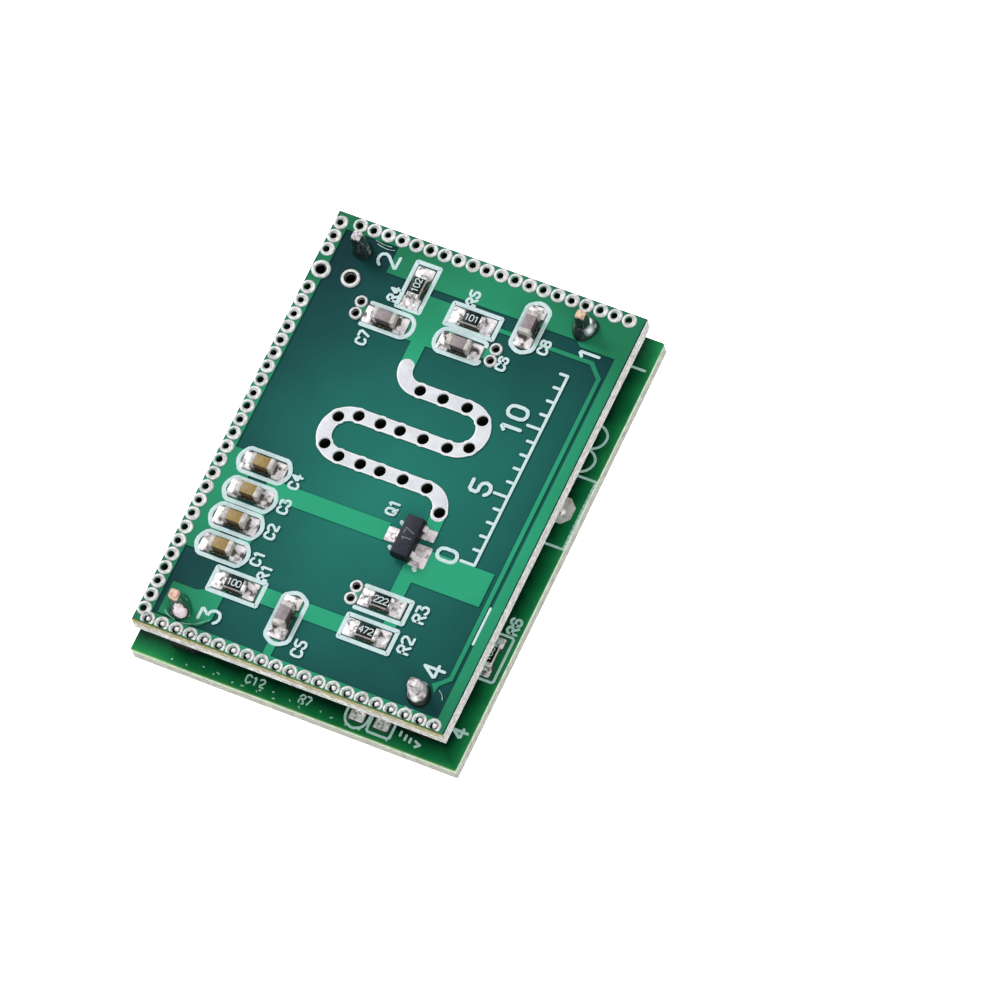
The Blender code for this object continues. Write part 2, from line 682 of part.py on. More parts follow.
def make_board(name, frame, base, top, holes, finish):
    """A bare board with its holes, each a place, a radius and a number of sides."""
    board = add_object(name, outlines_mesh(name, [frame], base, top), finish)
    bores = [(*hole, base - CUT_PAST, top + CUT_PAST) for hole in holes]
    bores += pin_clearances(PINS, base - CUT_PAST, top + CUT_PAST)
    cutter = add_object(name + "_bores", rods_mesh(name + "_bores", bores))
    combine(board, cutter, "DIFFERENCE").use_self = True


def header_pad_places():
    """The row of plated holes for the header: its ways, and one spare nearest the edge."""
    u, v = PAD_ROW_END
    return [(u - step * HEADER_PITCH, v) for step in range(HEADER_WAYS + 1)]


def rounded_frame(u0, v0, u1, v1, radius):
    """A rectangle on the layout with rounded corners."""
    corners = ((u1, v1, -1, -1, 0), (u0, v1, 1, -1, 90), (u0, v0, 1, 1, 180), (u1, v0, -1, 1, 270))
    points = []
    for u, v, along, across, start in corners:
        centre = (u + along * radius, v + across * radius)
        points += arc(centre, radius, start, start + 90)
    return points


def make_boards():
    frame = rectangle(0, 0, ANTENNA_WIDTH, ANTENNA_LENGTH)
    holes = [(place, radii[1] + HOLE_FIT, radii[-1]) for place, radii
             in ground_holes() + track_holes()]
    make_board("antenna_board", frame, ANTENNA_BOTTOM, ANTENNA_TOP, holes, "board")
    frame = rounded_frame(-LEFT_OVERHANG, -TOP_OVERHANG, CONTROL_RIGHT, CONTROL_BOTTOM,
                          CONTROL_CORNER)
    holes = [(place, HEADER_PAD_BARREL + HOLE_FIT, PIN_HOLE_SIDES) for place in header_pad_places()]
    make_board("control_board", frame, 0, CONTROL_TOP, holes, "dark_board")


def side_view(name, outline, width):
    """A curve of a side view, x along and y up, as thick as the piece is wide."""
    curve = bpy.data.curves.new(name, "CURVE")
    curve.dimensions = "2D"
    curve.fill_mode = "BOTH"
    curve.extrude = mm(width) / 2
    spline = curve.splines.new("POLY")
    spline.points.add(len(outline) - 1)
    spline.use_cyclic_u = True
    for point, (x, y) in zip(spline.points, outline):
        point.co = (mm(x), mm(y), 0.0, 1.0)
    return curve


def make_chip(name, place, lie, size, base, finish):
    """A chip seen from its side: a block whose metal ends stand a little proud of it."""
    length, width, height, cap, proud = size
    half = length / 2
    inner = half - cap
    high = height - proud
    outline = [
        (-half, 0.0), (-inner, 0.0), (-inner, proud), (inner, proud), (inner, 0.0), (half, 0.0),
        (half, height), (inner, height), (inner, high), (-inner, high), (-inner, height),
        (-half, height),
    ]
    chip = add_object(name, side_view(name, outline, width), finish)
    chip.location = at(*place, base)
    chip.rotation_euler = (math.pi / 2, 0.0, math.pi / 2 if lie == "along" else 0.0)


def make_leads(name, place, base, span, body_half, height, lead, foot, side, rows):
    """A row of gull-wing leads on one side of a package, from their feet into the body."""
    width, thickness = lead
    tip, heel = span / 2, span / 2 - foot
    root = body_half - LEAD_ROOT
    middle = height / 2
    outline = [(tip, 0.0), (tip, thickness), (heel, thickness), (heel, middle + thickness),
               (root, middle + thickness), (root, middle), (heel - thickness, middle),
               (heel - thickness, 0.0)]
    count, pitch = rows
    guide = add_object(name + "_view", side_view(name + "_view", outline, width))
    guide.rotation_euler = (math.pi / 2, 0.0, 0.0 if side > 0 else math.pi)
    guide.location = at(place[0], place[1] + pitch * (count - 1) / 2, base)
    leads = add_object(name, solid_of(guide))
    if count > 1:
        repeat = leads.modifiers.new("row", "ARRAY")
        repeat.count = count
        repeat.use_relative_offset = False
        repeat.use_constant_offset = True
        repeat.constant_offset_displace = (0.0, mm(pitch), 0.0)
    return leads


def mould_mesh(name, centre, base, size):
    """A moulded body: a box cut at half height, whose top and bottom edges draw in."""
    width, length, height = size
    middle = at(*centre, base + height / 2)
    mesh = boxes_mesh(name, [(middle, size)])
    shape = bmesh.new()
    shape.from_mesh(mesh)
    everything = shape.verts[:] + shape.edges[:] + shape.faces[:]
    bmesh.ops.bisect_plane(shape, geom=everything, plane_co=middle, plane_no=(0, 0, 1))
    for corner in shape.verts:
        if abs(corner.co.z - middle.z) > mm(height) / 4:
            corner.co.x -= math.copysign(mm(MOULD_DRAFT), corner.co.x - middle.x)
            corner.co.y -= math.copysign(mm(MOULD_DRAFT), corner.co.y - middle.y)
    shape.to_mesh(mesh)
    shape.free()
    return mesh


def make_package(name, place, base, size, leads):
    """A moulded body with its leads, which are moulded in and make one solid with it."""
    mesh = mould_mesh(name, place, base + BODY_STANDOFF, size)
    package = add_object(name, mesh, "black_mould")
    for row in leads:
        combine(package, row, "UNION")


def make_transistor():
    width, _, height = TRANSISTOR_BODY
    common = (TRANSISTOR_AT, CHIP_BASE, TRANSISTOR_SPAN, width / 2, height, TRANSISTOR_LEAD,
              TRANSISTOR_FOOT)
    leads = [make_leads("transistor_left_lead", *common, -1, (1, 0.0)),
             make_leads("transistor_right_leads", *common, 1, (2, TRANSISTOR_PITCH))]
    make_package("transistor", TRANSISTOR_AT, CHIP_BASE, TRANSISTOR_BODY, leads)


def make_controller():
    width, _, height = CONTROLLER_BODY
    common = (CONTROLLER_AT, CONTROL_CHIP_BASE, CONTROLLER_SPAN, width / 2, height,
              CONTROLLER_LEAD, CONTROLLER_FOOT)
    rows = (CONTROLLER_LEADS, CONTROLLER_PITCH)
    leads = [make_leads("controller_left_leads", *common, -1, rows),
             make_leads("controller_right_leads", *common, 1, rows)]
    make_package("controller_chip", CONTROLLER_AT, CONTROL_CHIP_BASE, CONTROLLER_BODY, leads)


def make_regulator():
    u, v = REGULATOR_AT
    length = REGULATOR_BODY[1]
    lead_width, thickness = REGULATOR_LEAD
    tab_width, tab_reach = REGULATOR_TAB
    flats = [(shift, 1, lead_width, REGULATOR_LEAD_REACH)
             for shift in (-REGULATOR_PITCH, 0.0, REGULATOR_PITCH)]
    flats.append((0.0, -1, tab_width, tab_reach))
    boxes = []
    for shift, side, width, reach in flats:
        inner = length / 2 - LEAD_ROOT
        depth = reach + LEAD_ROOT
        centre = at(u + shift, v + side * (inner + depth / 2), CONTROL_CHIP_BASE + thickness / 2)
        boxes.append((centre, (width, depth, thickness)))
    leads = add_object("regulator_leads", boxes_mesh("regulator_leads", boxes))
    make_package("voltage_regulator", REGULATOR_AT, CONTROL_CHIP_BASE, REGULATOR_BODY, [leads])


def square_rod(name, place, side, base, top, finish, chamfer=0.0):
    """A square pin standing on the layout, with its ends chamfered."""
    centre = at(*place, (base + top) / 2)
    rod = add_object(name, boxes_mesh(name, [(Vector((0, 0, 0)), (side, side, top - base))]), finish)
    rod.location = centre
    if chamfer:
        soften = rod.modifiers.new("ends", "BEVEL")
        soften.width = mm(chamfer)
        soften.segments = 1
        soften.limit_method = "ANGLE"
    return rod


def make_pins():
    for number, place in PINS.items():
        base = -PIN_BELOW
        top = ANTENNA_TOP + PIN_ABOVE[number]
        square_rod("pin_" + number, place, PIN_SIDE, base, top, "pin_metal", PIN_CHAMFER)


def octagon(place, width, length, corner):
    """A rectangle with its corners cut off, round a place on the layout."""
    u, v = place
    w, l = width / 2, length / 2
    return [(u - w + corner, v - l), (u + w - corner, v - l), (u + w, v - l + corner),
            (u + w, v + l - corner), (u + w - corner, v + l), (u - w + corner, v + l),
            (u - w, v + l - corner), (u - w, v - l + corner)]


def make_spacers():
    bore = PIN_SIDE + 2 * HOLE_FIT
    base = CONTROL_TOP + SEAT
    for number, place in PINS.items():
        outline = octagon(place, SPACER_SIDE, SPACER_SIDE, SPACER_CORNER)
        u, v = place
        hole = rectangle(u - bore / 2, v - bore / 2, u + bore / 2, v + bore / 2)
        name = "spacer_" + number
        mesh = outlines_mesh(name, [outline, hole], base, base + SPACER_HEIGHT - COPPER - SEAT)
        add_object(name, mesh, "black_plastic")


def make_solder(name, place, base, height, rod):
    """A hollow-sided fillet turned round a pin, standing on its base or hanging from it."""
    profile = [(0.0, base)]
    profile += [(SOLDER_RADIUS * share, base + height * rise) for share, rise in SOLDER_PROFILE]
    profile += [(SOLDER_NECK, base + height), (0.0, base + height)]
    if height > 0:
        profile.reverse()
    mesh = bpy.data.meshes.new(name)
    lines = [(index, index + 1) for index in range(len(profile) - 1)]
    mesh.from_pydata([(mm(radius), 0.0, mm(z)) for radius, z in profile], lines, [])
    joint = add_object(name, mesh, "solder")
    joint.location = at(*place)
    turn = joint.modifiers.new("turned", "SCREW")
    turn.steps = SOLDER_SIDES
    turn.render_steps = SOLDER_SIDES
    turn.use_merge_vertices = True
    turn.merge_threshold = WELD
    combine(joint, rod, "DIFFERENCE")


def make_solder_joints():
    side = PIN_SIDE + 2 * HOLE_FIT
    for number, place in PINS.items():
        rod = square_rod("pin_cutter_" + number, place, side, -PIN_BELOW - CUT_PAST,
                         ANTENNA_TOP + PIN_ABOVE[number] + CUT_PAST, None)
        base = CHIP_BASE if number in PINS_ON_COPPER else ANTENNA_TOP + SEAT
        make_solder("solder_" + number, place, base, SOLDER_HEIGHT, rod)
        make_solder("lower_solder_" + number, place, -SEAT, -LOWER_SOLDER_HEIGHT, rod)


def make_header():
    """Shrouded header that opens downwards, with its contacts and its row of pads."""
    places = header_pad_places()
    ways = places[1:]
    middle = ((ways[0][0] + ways[-1][0]) / 2, ways[0][1])
    length = (HEADER_WAYS - 1) * HEADER_PITCH + 2 * HEADER_MARGIN
    base = -SEAT - HEADER_HEIGHT
    floor = -SEAT - HEADER_FLOOR
    u0, u1 = middle[0] - length / 2, middle[0] + length / 2
    v0, v1 = middle[1] - HEADER_WIDTH / 2, middle[1] + HEADER_WIDTH / 2
    wall = HEADER_WALL
    housing = add_object("header_housing", outlines_mesh(
        "header_housing", [rectangle(u0, v0, u1, v1)], base, -SEAT), "white_nylon")
    socket = outlines_mesh("header_socket", [rectangle(u0 + wall, v0 + wall, u1 - wall, v1 - wall)],
                           base - CUT_PAST, floor)
    combine(housing, add_object("header_socket", socket), "DIFFERENCE")
    slots = []
    for end in (u0 + HEADER_SLOT_FROM_END, u1 - HEADER_SLOT_FROM_END - HEADER_SLOT):
        slots.append(rectangle(end, v1 - 2 * wall, end + HEADER_SLOT, v1 + wall))
    slot_mesh = outlines_mesh("header_slots", slots, base - CUT_PAST, floor - HEADER_SLOT_SHORT)
    combine(housing, add_object("header_slots", slot_mesh), "DIFFERENCE")
    bore = CONTACT_SIDE + 2 * HOLE_FIT
    bores = boxes_mesh("contact_bores", [(at(*place, -HEADER_FLOOR / 2),
                                          (bore, bore, 2 * HEADER_FLOOR)) for place in ways])
    combine(housing, add_object("contact_bores", bores), "DIFFERENCE")
    for number, place in enumerate(ways, 1):
        square_rod("header_contact_%d" % number, place, CONTACT_SIDE, base + CONTACT_SETBACK,
                   CONTROL_TOP + CONTACT_ABOVE, "pin_metal", PIN_CHAMFER)
    for number, place in enumerate(places, 1):
        make_header_pad("header_pad_%d" % number, place)


def make_header_pad(name, place):
    """A plated hole with an eight-sided pad on the inner side and a round one below."""
    outline = octagon(place, *HEADER_PAD_SIZE, HEADER_PAD_CORNER)
    top = CONTROL_TOP + SEAT
    pad = add_object(name, outlines_mesh(name, [outline], top, top + COPPER), "tinned_copper")
    barrel = (place, HEADER_PAD_BARREL, PIN_HOLE_SIDES, 0.0, top + COPPER / 2)
    combine(pad, add_object(name + "_barrel", rods_mesh(name + "_barrel", [barrel])), "UNION")
    bore = (place, HEADER_PAD_BORE, PIN_HOLE_SIDES, -CUT_PAST, top + CUT_PAST)
    combine(pad, add_object(name + "_bore", rods_mesh(name + "_bore", [bore])), "DIFFERENCE")


def make_chips():
    tan = ("capacitor_1", "capacitor_2", "capacitor_3", "capacitor_4")
    for name, (u, v, lie) in CAPACITORS.items():
        finish = "tan_ceramic" if name in tan else "mauve_ceramic"
        make_chip(name, (u, v), lie, CAPACITOR_SIZE, CHIP_BASE, finish)
    for name, (u, v, lie) in RESISTORS.items():
        make_chip(name, (u, v), lie, RESISTOR_SIZE, CHIP_BASE, "black_glaze")
    for name, (u, v, lie) in CONTROL_CAPACITORS.items():
        make_chip(name, (u, v), lie, CAPACITOR_SIZE, CONTROL_CHIP_BASE, "mauve_ceramic")
    for name, (u, v, lie) in CONTROL_RESISTORS.items():
        make_chip(name, (u, v), lie, RESISTOR_SIZE, CONTROL_CHIP_BASE, "black_glaze")


def make_module():
    make_boards()
    make_ground_plane()
    make_antenna_track()
    make_collector_track()
    make_base_track()
    make_output_track()
    make_supply_track()
    make_feed_track()
    make_chips()
    make_transistor()
    make_pins()
    make_spacers()
    make_solder_joints()
    make_header()
    make_controller()
    make_regulator()


make_module()
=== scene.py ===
# Looks of the microwave radar sensor module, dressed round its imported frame.
# Lengths are in millimetres and become metres in mm(). Places on the boards are written as on a
# layout drawing: u to the right and v down, both from the antenna board's top left corner.
# Colours are written as they look, from 0 to 255.
import math
import random

import bmesh
import bpy
from mathutils import Matrix, Vector


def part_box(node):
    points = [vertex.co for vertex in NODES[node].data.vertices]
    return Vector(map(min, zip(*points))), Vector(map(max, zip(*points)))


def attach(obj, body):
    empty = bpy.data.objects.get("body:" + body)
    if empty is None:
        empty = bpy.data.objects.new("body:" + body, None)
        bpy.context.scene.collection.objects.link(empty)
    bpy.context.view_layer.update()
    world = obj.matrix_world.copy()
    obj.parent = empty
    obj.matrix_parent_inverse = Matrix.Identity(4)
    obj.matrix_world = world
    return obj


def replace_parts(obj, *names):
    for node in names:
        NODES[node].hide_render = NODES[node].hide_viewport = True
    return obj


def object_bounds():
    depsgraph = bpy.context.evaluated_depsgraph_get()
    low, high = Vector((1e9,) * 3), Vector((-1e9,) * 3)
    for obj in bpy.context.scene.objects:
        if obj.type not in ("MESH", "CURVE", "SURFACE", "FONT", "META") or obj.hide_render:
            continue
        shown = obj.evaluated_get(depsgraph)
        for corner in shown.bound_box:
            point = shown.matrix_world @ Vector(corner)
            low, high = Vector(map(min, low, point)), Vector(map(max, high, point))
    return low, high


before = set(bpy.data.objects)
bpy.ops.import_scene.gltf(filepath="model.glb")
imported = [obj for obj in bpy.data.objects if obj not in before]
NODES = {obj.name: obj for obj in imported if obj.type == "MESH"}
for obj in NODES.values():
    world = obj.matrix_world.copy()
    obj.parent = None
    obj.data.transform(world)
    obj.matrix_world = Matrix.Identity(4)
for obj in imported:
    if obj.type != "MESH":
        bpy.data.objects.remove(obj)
CAD_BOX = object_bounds()


def mm(value):
    return value * 0.001


def box_mm(node):
    """Lowest and highest corner of a node, in millimetres."""
    low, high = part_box(node)
    return Vector(low) * 1000, Vector(high) * 1000


# Levels and corners, from the frame
BOARD_LOW, BOARD_HIGH = box_mm("antenna_board")
CONTROL_LOW, CONTROL_HIGH = box_mm("control_board")
LEFT = BOARD_LOW.x
BACK = BOARD_HIGH.y
WIDTH = BOARD_HIGH.x - BOARD_LOW.x
LENGTH = BOARD_HIGH.y - BOARD_LOW.y
TOP = BOARD_HIGH.z
COPPER = box_mm("feed_track")[1].z
CONTROL_TOP = CONTROL_HIGH.z

# Camera, fitted to the photograph
VIEW_TARGET = (7.42, 0.53, 4.94)
VIEW_DISTANCE = 477.8
VIEW_ELEVATION = 63.48
VIEW_BEARING = -47.76
VIEW_ROLL = 19.10
LENS = 275.2
SENSOR = 36.0

# Masks: where the antenna board was snapped off, the shine, and the painted sheen: where the layout is
# painted lightest, its squeeze and how far it reaches
CUT_END = -(BOARD_LOW.y + 0.09)
MASK_SHINE = 0.07
SHEEN_MIDDLE = (0.8, -2.0)
SHEEN_SHRINK = 0.8
SHEEN_REACH = 15.0

# How much darker solder is painted where it climbs a chip: painted shade in the corner against the chip
CLIMB_SHADE = 0.25

# Silkscreen: widths, height, and the steps in height that keep crossing strokes apart
INK = 0.28
DOT_INK = 0.26
NUMBER_INK = 0.24
PIN_INK = 0.2
LABEL_INK = 0.17
LINE_INK = 0.16
EDGE_INK = 0.15
SMALL_INK = 0.11
SPECK_INK = 0.09
MARK_INK = 0.07
RESISTOR_INK = 0.065
GLINT_INK = 0.05
INK_HEIGHT = 0.02
INK_STAGGER = 0.0012
INK_LEVELS = 17
END_TURNS = (0.15, 0.6, 1.1)
BOW = 0.42
BOW_STEPS = 6

# Plated holes: bore and outer radius of the ring that shows
FENCE_RING = (0.215, 0.49)
PAIR_RING = (0.19, 0.43)
LARGE_RING = (0.33, 0.64)
TRACK_RING = (0.385, 0.47)
# Rows along the edges: first hole, step and count
FENCE_ROWS = [((1.79, 0.55), (1.0, 0), 20), ((0.48, 0.80), (0, 1.0), 3),
              ((0.48, 5.70), (0, 1.0), 25), ((1.0, 30.28), (1.0, 0), 21)]
# Pairs: shift of the first hole from its chip's middle
PAIR_SHIFTS = {"capacitor_7": (-2.05, -0.66), "capacitor_6": (2.22, -0.68),
               "resistor_3": (-2.0, -0.47)}
PAIR_PITCH = 0.86
# Large holes: place, ring, lean of the lip and reach of the shade
LARGE_HOLES = [((0.71, 4.25), LARGE_RING, (-0.02, 0.0), 0.35),
               ((2.77, 4.17), LARGE_RING, (0.0, 0.0), 0.43)]
# Their rings are cut flat where they run off the board
RING_LIMITS = (0.03, 0.03, WIDTH - 0.03, LENGTH - 0.11)
RING_RISE = 0.085
RING_STEPS = 28
RING_EDGE = 0.05
RING_DEPTH = 0.35
LIP = 0.10
FENCE_FLOOR = 0.02
RAISED_FLOOR = 0.06
LIP_LEAN = (-0.065, -0.01)
BARREL_WALL = 0.02
BARREL_GAP = 0.004
BARREL_END = 1.1
FILL_RADIUS = 0.21
FILL_SHIFT = (0.02, -0.09)
FILL_DEPTH = 0.10
FILL_HEIGHT = 0.12
BLOB_RINGS = 4

# Serpentine
TRACK_HALF = 0.5
TRACK_RISE = 0.04
BUMP_RADIUS = 0.55
TRACK_STEP = 0.06
TRACK_ROWS = (9.75, 12.75, 15.75)
TRACK_START = (8.82, 8.0)
FIRST_BEND = ((10.07, 8.5), 1.25)
RIGHT_BEND = ((13.87, 11.25), 1.5)
LEFT_BEND = ((7.35, 14.25), 1.5)
LAST_BEND = ((13.73, 17.15), 1.4)
TRACK_TAIL = 0.5
TRACK_TOP_FACES = (3, 4)
ROW_HOLES = (7.45, 8.98, 10.36, 11.97, 13.67)
BEND_HOLE_ANGLE = 42.0
LAST_HOLE = (15.13, 17.0)


def at(u, v, z):
    """A layout place and a height as a point in metres."""
    return Vector((mm(LEFT + u), mm(BACK - v), mm(z)))


def place_of(node):
    """The middle of a node on the layout."""
    low, high = box_mm(node)
    return ((low.x + high.x) / 2 - LEFT, BACK - (low.y + high.y) / 2)


def on_arc(centre, radius, degrees):
    angle = math.radians(degrees)
    return (centre[0] + radius * math.cos(angle), centre[1] + radius * math.sin(angle))


def linear(colour):
    """A colour given as it looks, from 0 to 255, as a linear colour."""
    return tuple(((part / 255 + 0.055) / 1.055) ** 2.4 for part in colour) + (1.0,)


class Finish:
    """A node material in the making. Its textures are placed in millimetres on the object."""

    def __init__(self, name, roughness=0.5, metallic=0.0, **sockets):
        self.material = bpy.data.materials.new(name)
        self.material.use_nodes = True
        self.tree = self.material.node_tree
        self.shader = self.tree.nodes["Principled BSDF"]
        for socket, value in {"Roughness": roughness, "Metallic": metallic, **sockets}.items():
            self.set(socket.replace("_", " "), value)
        place = self.add("ShaderNodeTexCoord").outputs["Object"]
        self.place = self.vector("MULTIPLY", place, (1000.0, 1000.0, 1000.0))

    def feed(self, target, value):
        """Give a socket another node's output, a colour or a number."""
        if isinstance(value, bpy.types.NodeSocket):
            self.tree.links.new(value, target)
        else:
            target.default_value = linear(value) if target.type == "RGBA" else value

    def set(self, socket, value):
        self.feed(self.shader.inputs[socket], value)
        return self

    def add(self, kind, inputs=None, **settings):
        """A new node, with what its settings and inputs are given."""
        node = self.tree.nodes.new(kind)
        for key, value in settings.items():
            setattr(node, key, value)
        for socket, value in (inputs or {}).items():
            self.feed(node.inputs[socket], value)
        return node

    def math(self, operation, first, second=0.0):
        return self.add("ShaderNodeMath", {0: first, 1: second}, operation=operation).outputs[0]

    def vector(self, operation, first, second=(0.0, 0.0, 0.0)):
        node = self.add("ShaderNodeVectorMath", {0: first, 1: second}, operation=operation)
        return node.outputs["Value" if operation in ("LENGTH", "DISTANCE") else "Vector"]

    def noise(self, size, detail=3.0, stretch=(1.0, 1.0, 1.0)):
        """Noise whose features are about that many millimetres across."""
        place = self.vector("MULTIPLY", self.place, stretch)
        return self.add("ShaderNodeTexNoise",
                        {"Vector": place, "Scale": 1.0 / size, "Detail": detail}).outputs["Fac"]

    def waver(self, value, size, detail, amount):
        """The value plus noise, by up to about half the amount either way."""
        noise = self.math("SUBTRACT", self.noise(size, detail), 0.5)
        return self.math("ADD", value, self.math("MULTIPLY", noise, amount))

    def axis(self, name):
        """A coordinate of the place: X, Y or Z."""
        return self.add("ShaderNodeSeparateXYZ", {0: self.place}).outputs[name]

    def upward(self):
        """How far the surface faces up, from -1 to 1."""
        normal = self.add("ShaderNodeNewGeometry").outputs["True Normal"]
        return self.add("ShaderNodeSeparateXYZ", {0: normal}).outputs["Z"]

    def level(self, low=0.4, high=0.6):
        """1 where the surface lies level and 0 where it stands upright."""
        return self.ramp(self.math("ABSOLUTE", self.upward()), low, high)

    def ramp(self, value, low, high):
        """0 below low and 1 above high."""
        return self.add("ShaderNodeMapRange",
                        {"Value": value, "From Min": low, "From Max": high}).outputs["Result"]

    def opposite(self, value):
        return self.math("SUBTRACT", 1.0, value)

    def mix(self, factor, first, second):
        inputs = {"Factor": factor, 6: first, 7: second}
        return self.add("ShaderNodeMix", inputs, data_type="RGBA").outputs[2]

    def bump(self, height, depth, strength=1.0):
        """Raise the surface by the height times a depth in millimetres."""
        inputs = {"Strength": strength, "Distance": mm(depth), "Height": height}
        return self.set("Normal", self.add("ShaderNodeBump", inputs).outputs["Normal"])


def wall_colour(finish, pale, dark, size):
    """The cut edge of a board: pale glass fibre in layers, with darker specks."""
    layers = finish.noise(size, 4.0, (1.0, 1.0, 5.0))
    specks = finish.noise(size * 0.4, 2.0, (1.0, 1.0, 2.0))
    fibre = finish.mix(finish.ramp(layers, 0.42, 0.60), dark, pale)
    return finish.mix(finish.ramp(specks, 0.56, 0.66), fibre, dark)


def mask_tone(finish, bright, deep, start, end):
    """Green mask of the antenna board with a painted sheen: lightest round its middle and deeper towards
    its ends.
    """
    moved = finish.vector("SUBTRACT", finish.place, (*SHEEN_MIDDLE, 0.0))
    flat = finish.vector("MULTIPLY", moved, (1.0, SHEEN_SHRINK, 0.0))
    spread = finish.math("DIVIDE", finish.vector("LENGTH", flat), SHEEN_REACH)
    return finish.mix(finish.ramp(finish.waver(spread, 6.0, 2.0, 0.4), start, end), bright, deep)


def board_finish(name, tone, pale, dark, wall_size, rim, rim_colour, cut_end=None):
    """Green mask on the flat sides, glass fibre on the cut edges, bare laminate at a snapped end."""
    finish = Finish(name, IOR=1.5, Specular_IOR_Level=MASK_SHINE)
    flat = finish.level()
    low, high, waver = rim
    near_rim = finish.math("MULTIPLY",
                           finish.ramp(finish.waver(finish.axis("Z"), 0.6, 2.0, waver), low, high),
                           finish.ramp(finish.noise(0.35, 3.0, (1.0, 1.0, 2.5)), 0.30, 0.55))
    top = tone(finish)
    if cut_end is not None:
        end = finish.ramp(finish.math("MULTIPLY", finish.axis("Y"), -1.0), cut_end, cut_end + 0.02)
        near_rim = finish.math("MULTIPLY", near_rim, end)
        top = finish.mix(end, top, rim_colour)
    wall = finish.mix(near_rim, wall_colour(finish, pale, dark, wall_size), rim_colour)
    finish.set("Base Color", finish.mix(flat, wall, top))
    finish.set("Roughness", finish.math("SUBTRACT", 0.85, finish.math("MULTIPLY", flat, 0.58)))
    peel = finish.math("MULTIPLY", finish.noise(0.45, 2.0), flat)
    cut = finish.math("MULTIPLY", finish.noise(0.16, 3.0, (1.0, 1.0, 2.5)), finish.opposite(flat))
    mixed = finish.math("ADD", finish.math("MULTIPLY", peel, 0.08), cut)
    return finish.bump(mixed, 0.09, 0.6).material


def masked_copper_finish():
    """Copper under the mask: lighter green with the same painted sheen, with bare metal inside the plated
    holes.
    """
    finish = Finish("masked_copper", roughness=0.27, IOR=1.5, Specular_IOR_Level=MASK_SHINE)
    green = mask_tone(finish, (45, 159, 119), (33, 116, 80), 0.58, 0.98)
    below = finish.opposite(finish.ramp(finish.axis("Z"), TOP - 0.02, TOP))
    bare = finish.math("MULTIPLY", finish.opposite(finish.level()), below)
    finish.set("Base Color", finish.mix(bare, green, (120, 118, 114)))
    finish.set("Metallic", bare)
    return finish.bump(finish.noise(0.45, 2.0), 0.008, 0.5).material


def tin_finish(name, light, dark, roughness, size, depth, metallic=0.75, spread=(0.35, 0.62),
               climb=None):
    """Tin or solder: bright metal with soft grey patches, darkened by painted shade where it climbs a
    chip.
    """
    finish = Finish(name, metallic=metallic)
    patches = finish.noise(size, 3.0)
    if climb:
        crease_shade = finish.math("MULTIPLY", finish.ramp(finish.axis("Z"), *climb), CLIMB_SHADE)
        patches = finish.math("SUBTRACT", patches, crease_shade)
    finish.set("Base Color", finish.mix(finish.ramp(patches, *spread), dark, light))
    grain = finish.noise(size * 0.4, 2.0)
    finish.set("Roughness", finish.math("ADD", roughness, finish.math("MULTIPLY", grain, 0.25)))
    return finish.bump(finish.noise(size * 0.6, 2.0), depth, 0.8).material


def spotted_finish(name, light, dark, place, spots, roughness):
    """Solder dark with flux, with spots of painted highlight, painted reflection and plain dark:
    direction, height, reach, radius, edge.
    """
    finish = Finish(name, metallic=0.1, roughness=roughness, Coat_Weight=0.3)
    colour = finish.mix(finish.ramp(finish.noise(0.4, 3.0), 0.35, 0.65), dark, light)
    ripple = finish.waver(0.0, 0.22, 2.0, 0.14)
    # The spots paint highlights, reflections and dark edges onto the solder.
    for degrees, height, reach, radius, edge, tone in spots:
        u, v = on_arc(place, reach, degrees)
        away = finish.vector("DISTANCE", finish.place, (LEFT + u, BACK - v, TOP + height))
        away = finish.math("ADD", away, ripple)
        colour = finish.mix(finish.ramp(away, radius - edge, radius + edge), tone, colour)
    finish.set("Base Color", colour)
    return finish.bump(finish.noise(0.3, 2.0), 0.05, 0.7).material


def grainy_finish(name, light, dark, roughness, size, depth, sides=None, **sockets):
    """Ceramic, plastic or ink: two close tones and a fine grain, and maybe sides painted darker as shade.
    """
    finish = Finish(name, roughness=roughness, **sockets)
    tone = finish.mix(finish.ramp(finish.noise(size * 3, 3.0), 0.3, 0.7), dark, light)
    # Upright sides take the darker colour: painted shade.
    if sides:
        tone = finish.mix(finish.level(0.3, 0.6), sides, tone)
    finish.set("Base Color", tone)
    return finish.bump(finish.noise(size, 2.0), depth, 0.7).material


def antenna_mask(finish):
    return mask_tone(finish, (35, 120, 107), (16, 54, 58), 0.05, 1.0)


def control_mask(finish):
    """Green mask of the control board: pale at its very edge, and darkened inward by painted shade,
    darkest under the antenna board. The painted shade lies on its top only; the underside keeps one plain
    green.
    """
    right = finish.math("SUBTRACT", CONTROL_HIGH.x, finish.axis("X"))
    front = finish.math("SUBTRACT", finish.axis("Y"), CONTROL_LOW.y)
    inward = finish.math("MINIMUM", right, front)
    # Painted shade: darker the further in from the right and front edges, where the antenna board
    # overhangs.
    deep = finish.waver(inward, 1.6, 3.0, 0.8)
    top = finish.mix(finish.ramp(deep, 0.35, 1.30), (24, 122, 70), (6, 46, 29))
    top = finish.mix(finish.ramp(deep, -0.2, 0.34), (54, 156, 88), top)
    rim = finish.mix(finish.ramp(front, 0.04, 0.3), (168, 206, 128), (70, 150, 92))
    top = finish.mix(finish.ramp(inward, 0.03, 0.10), rim, top)
    return finish.mix(finish.ramp(finish.upward(), 0.4, 0.6), (18, 112, 62), top)


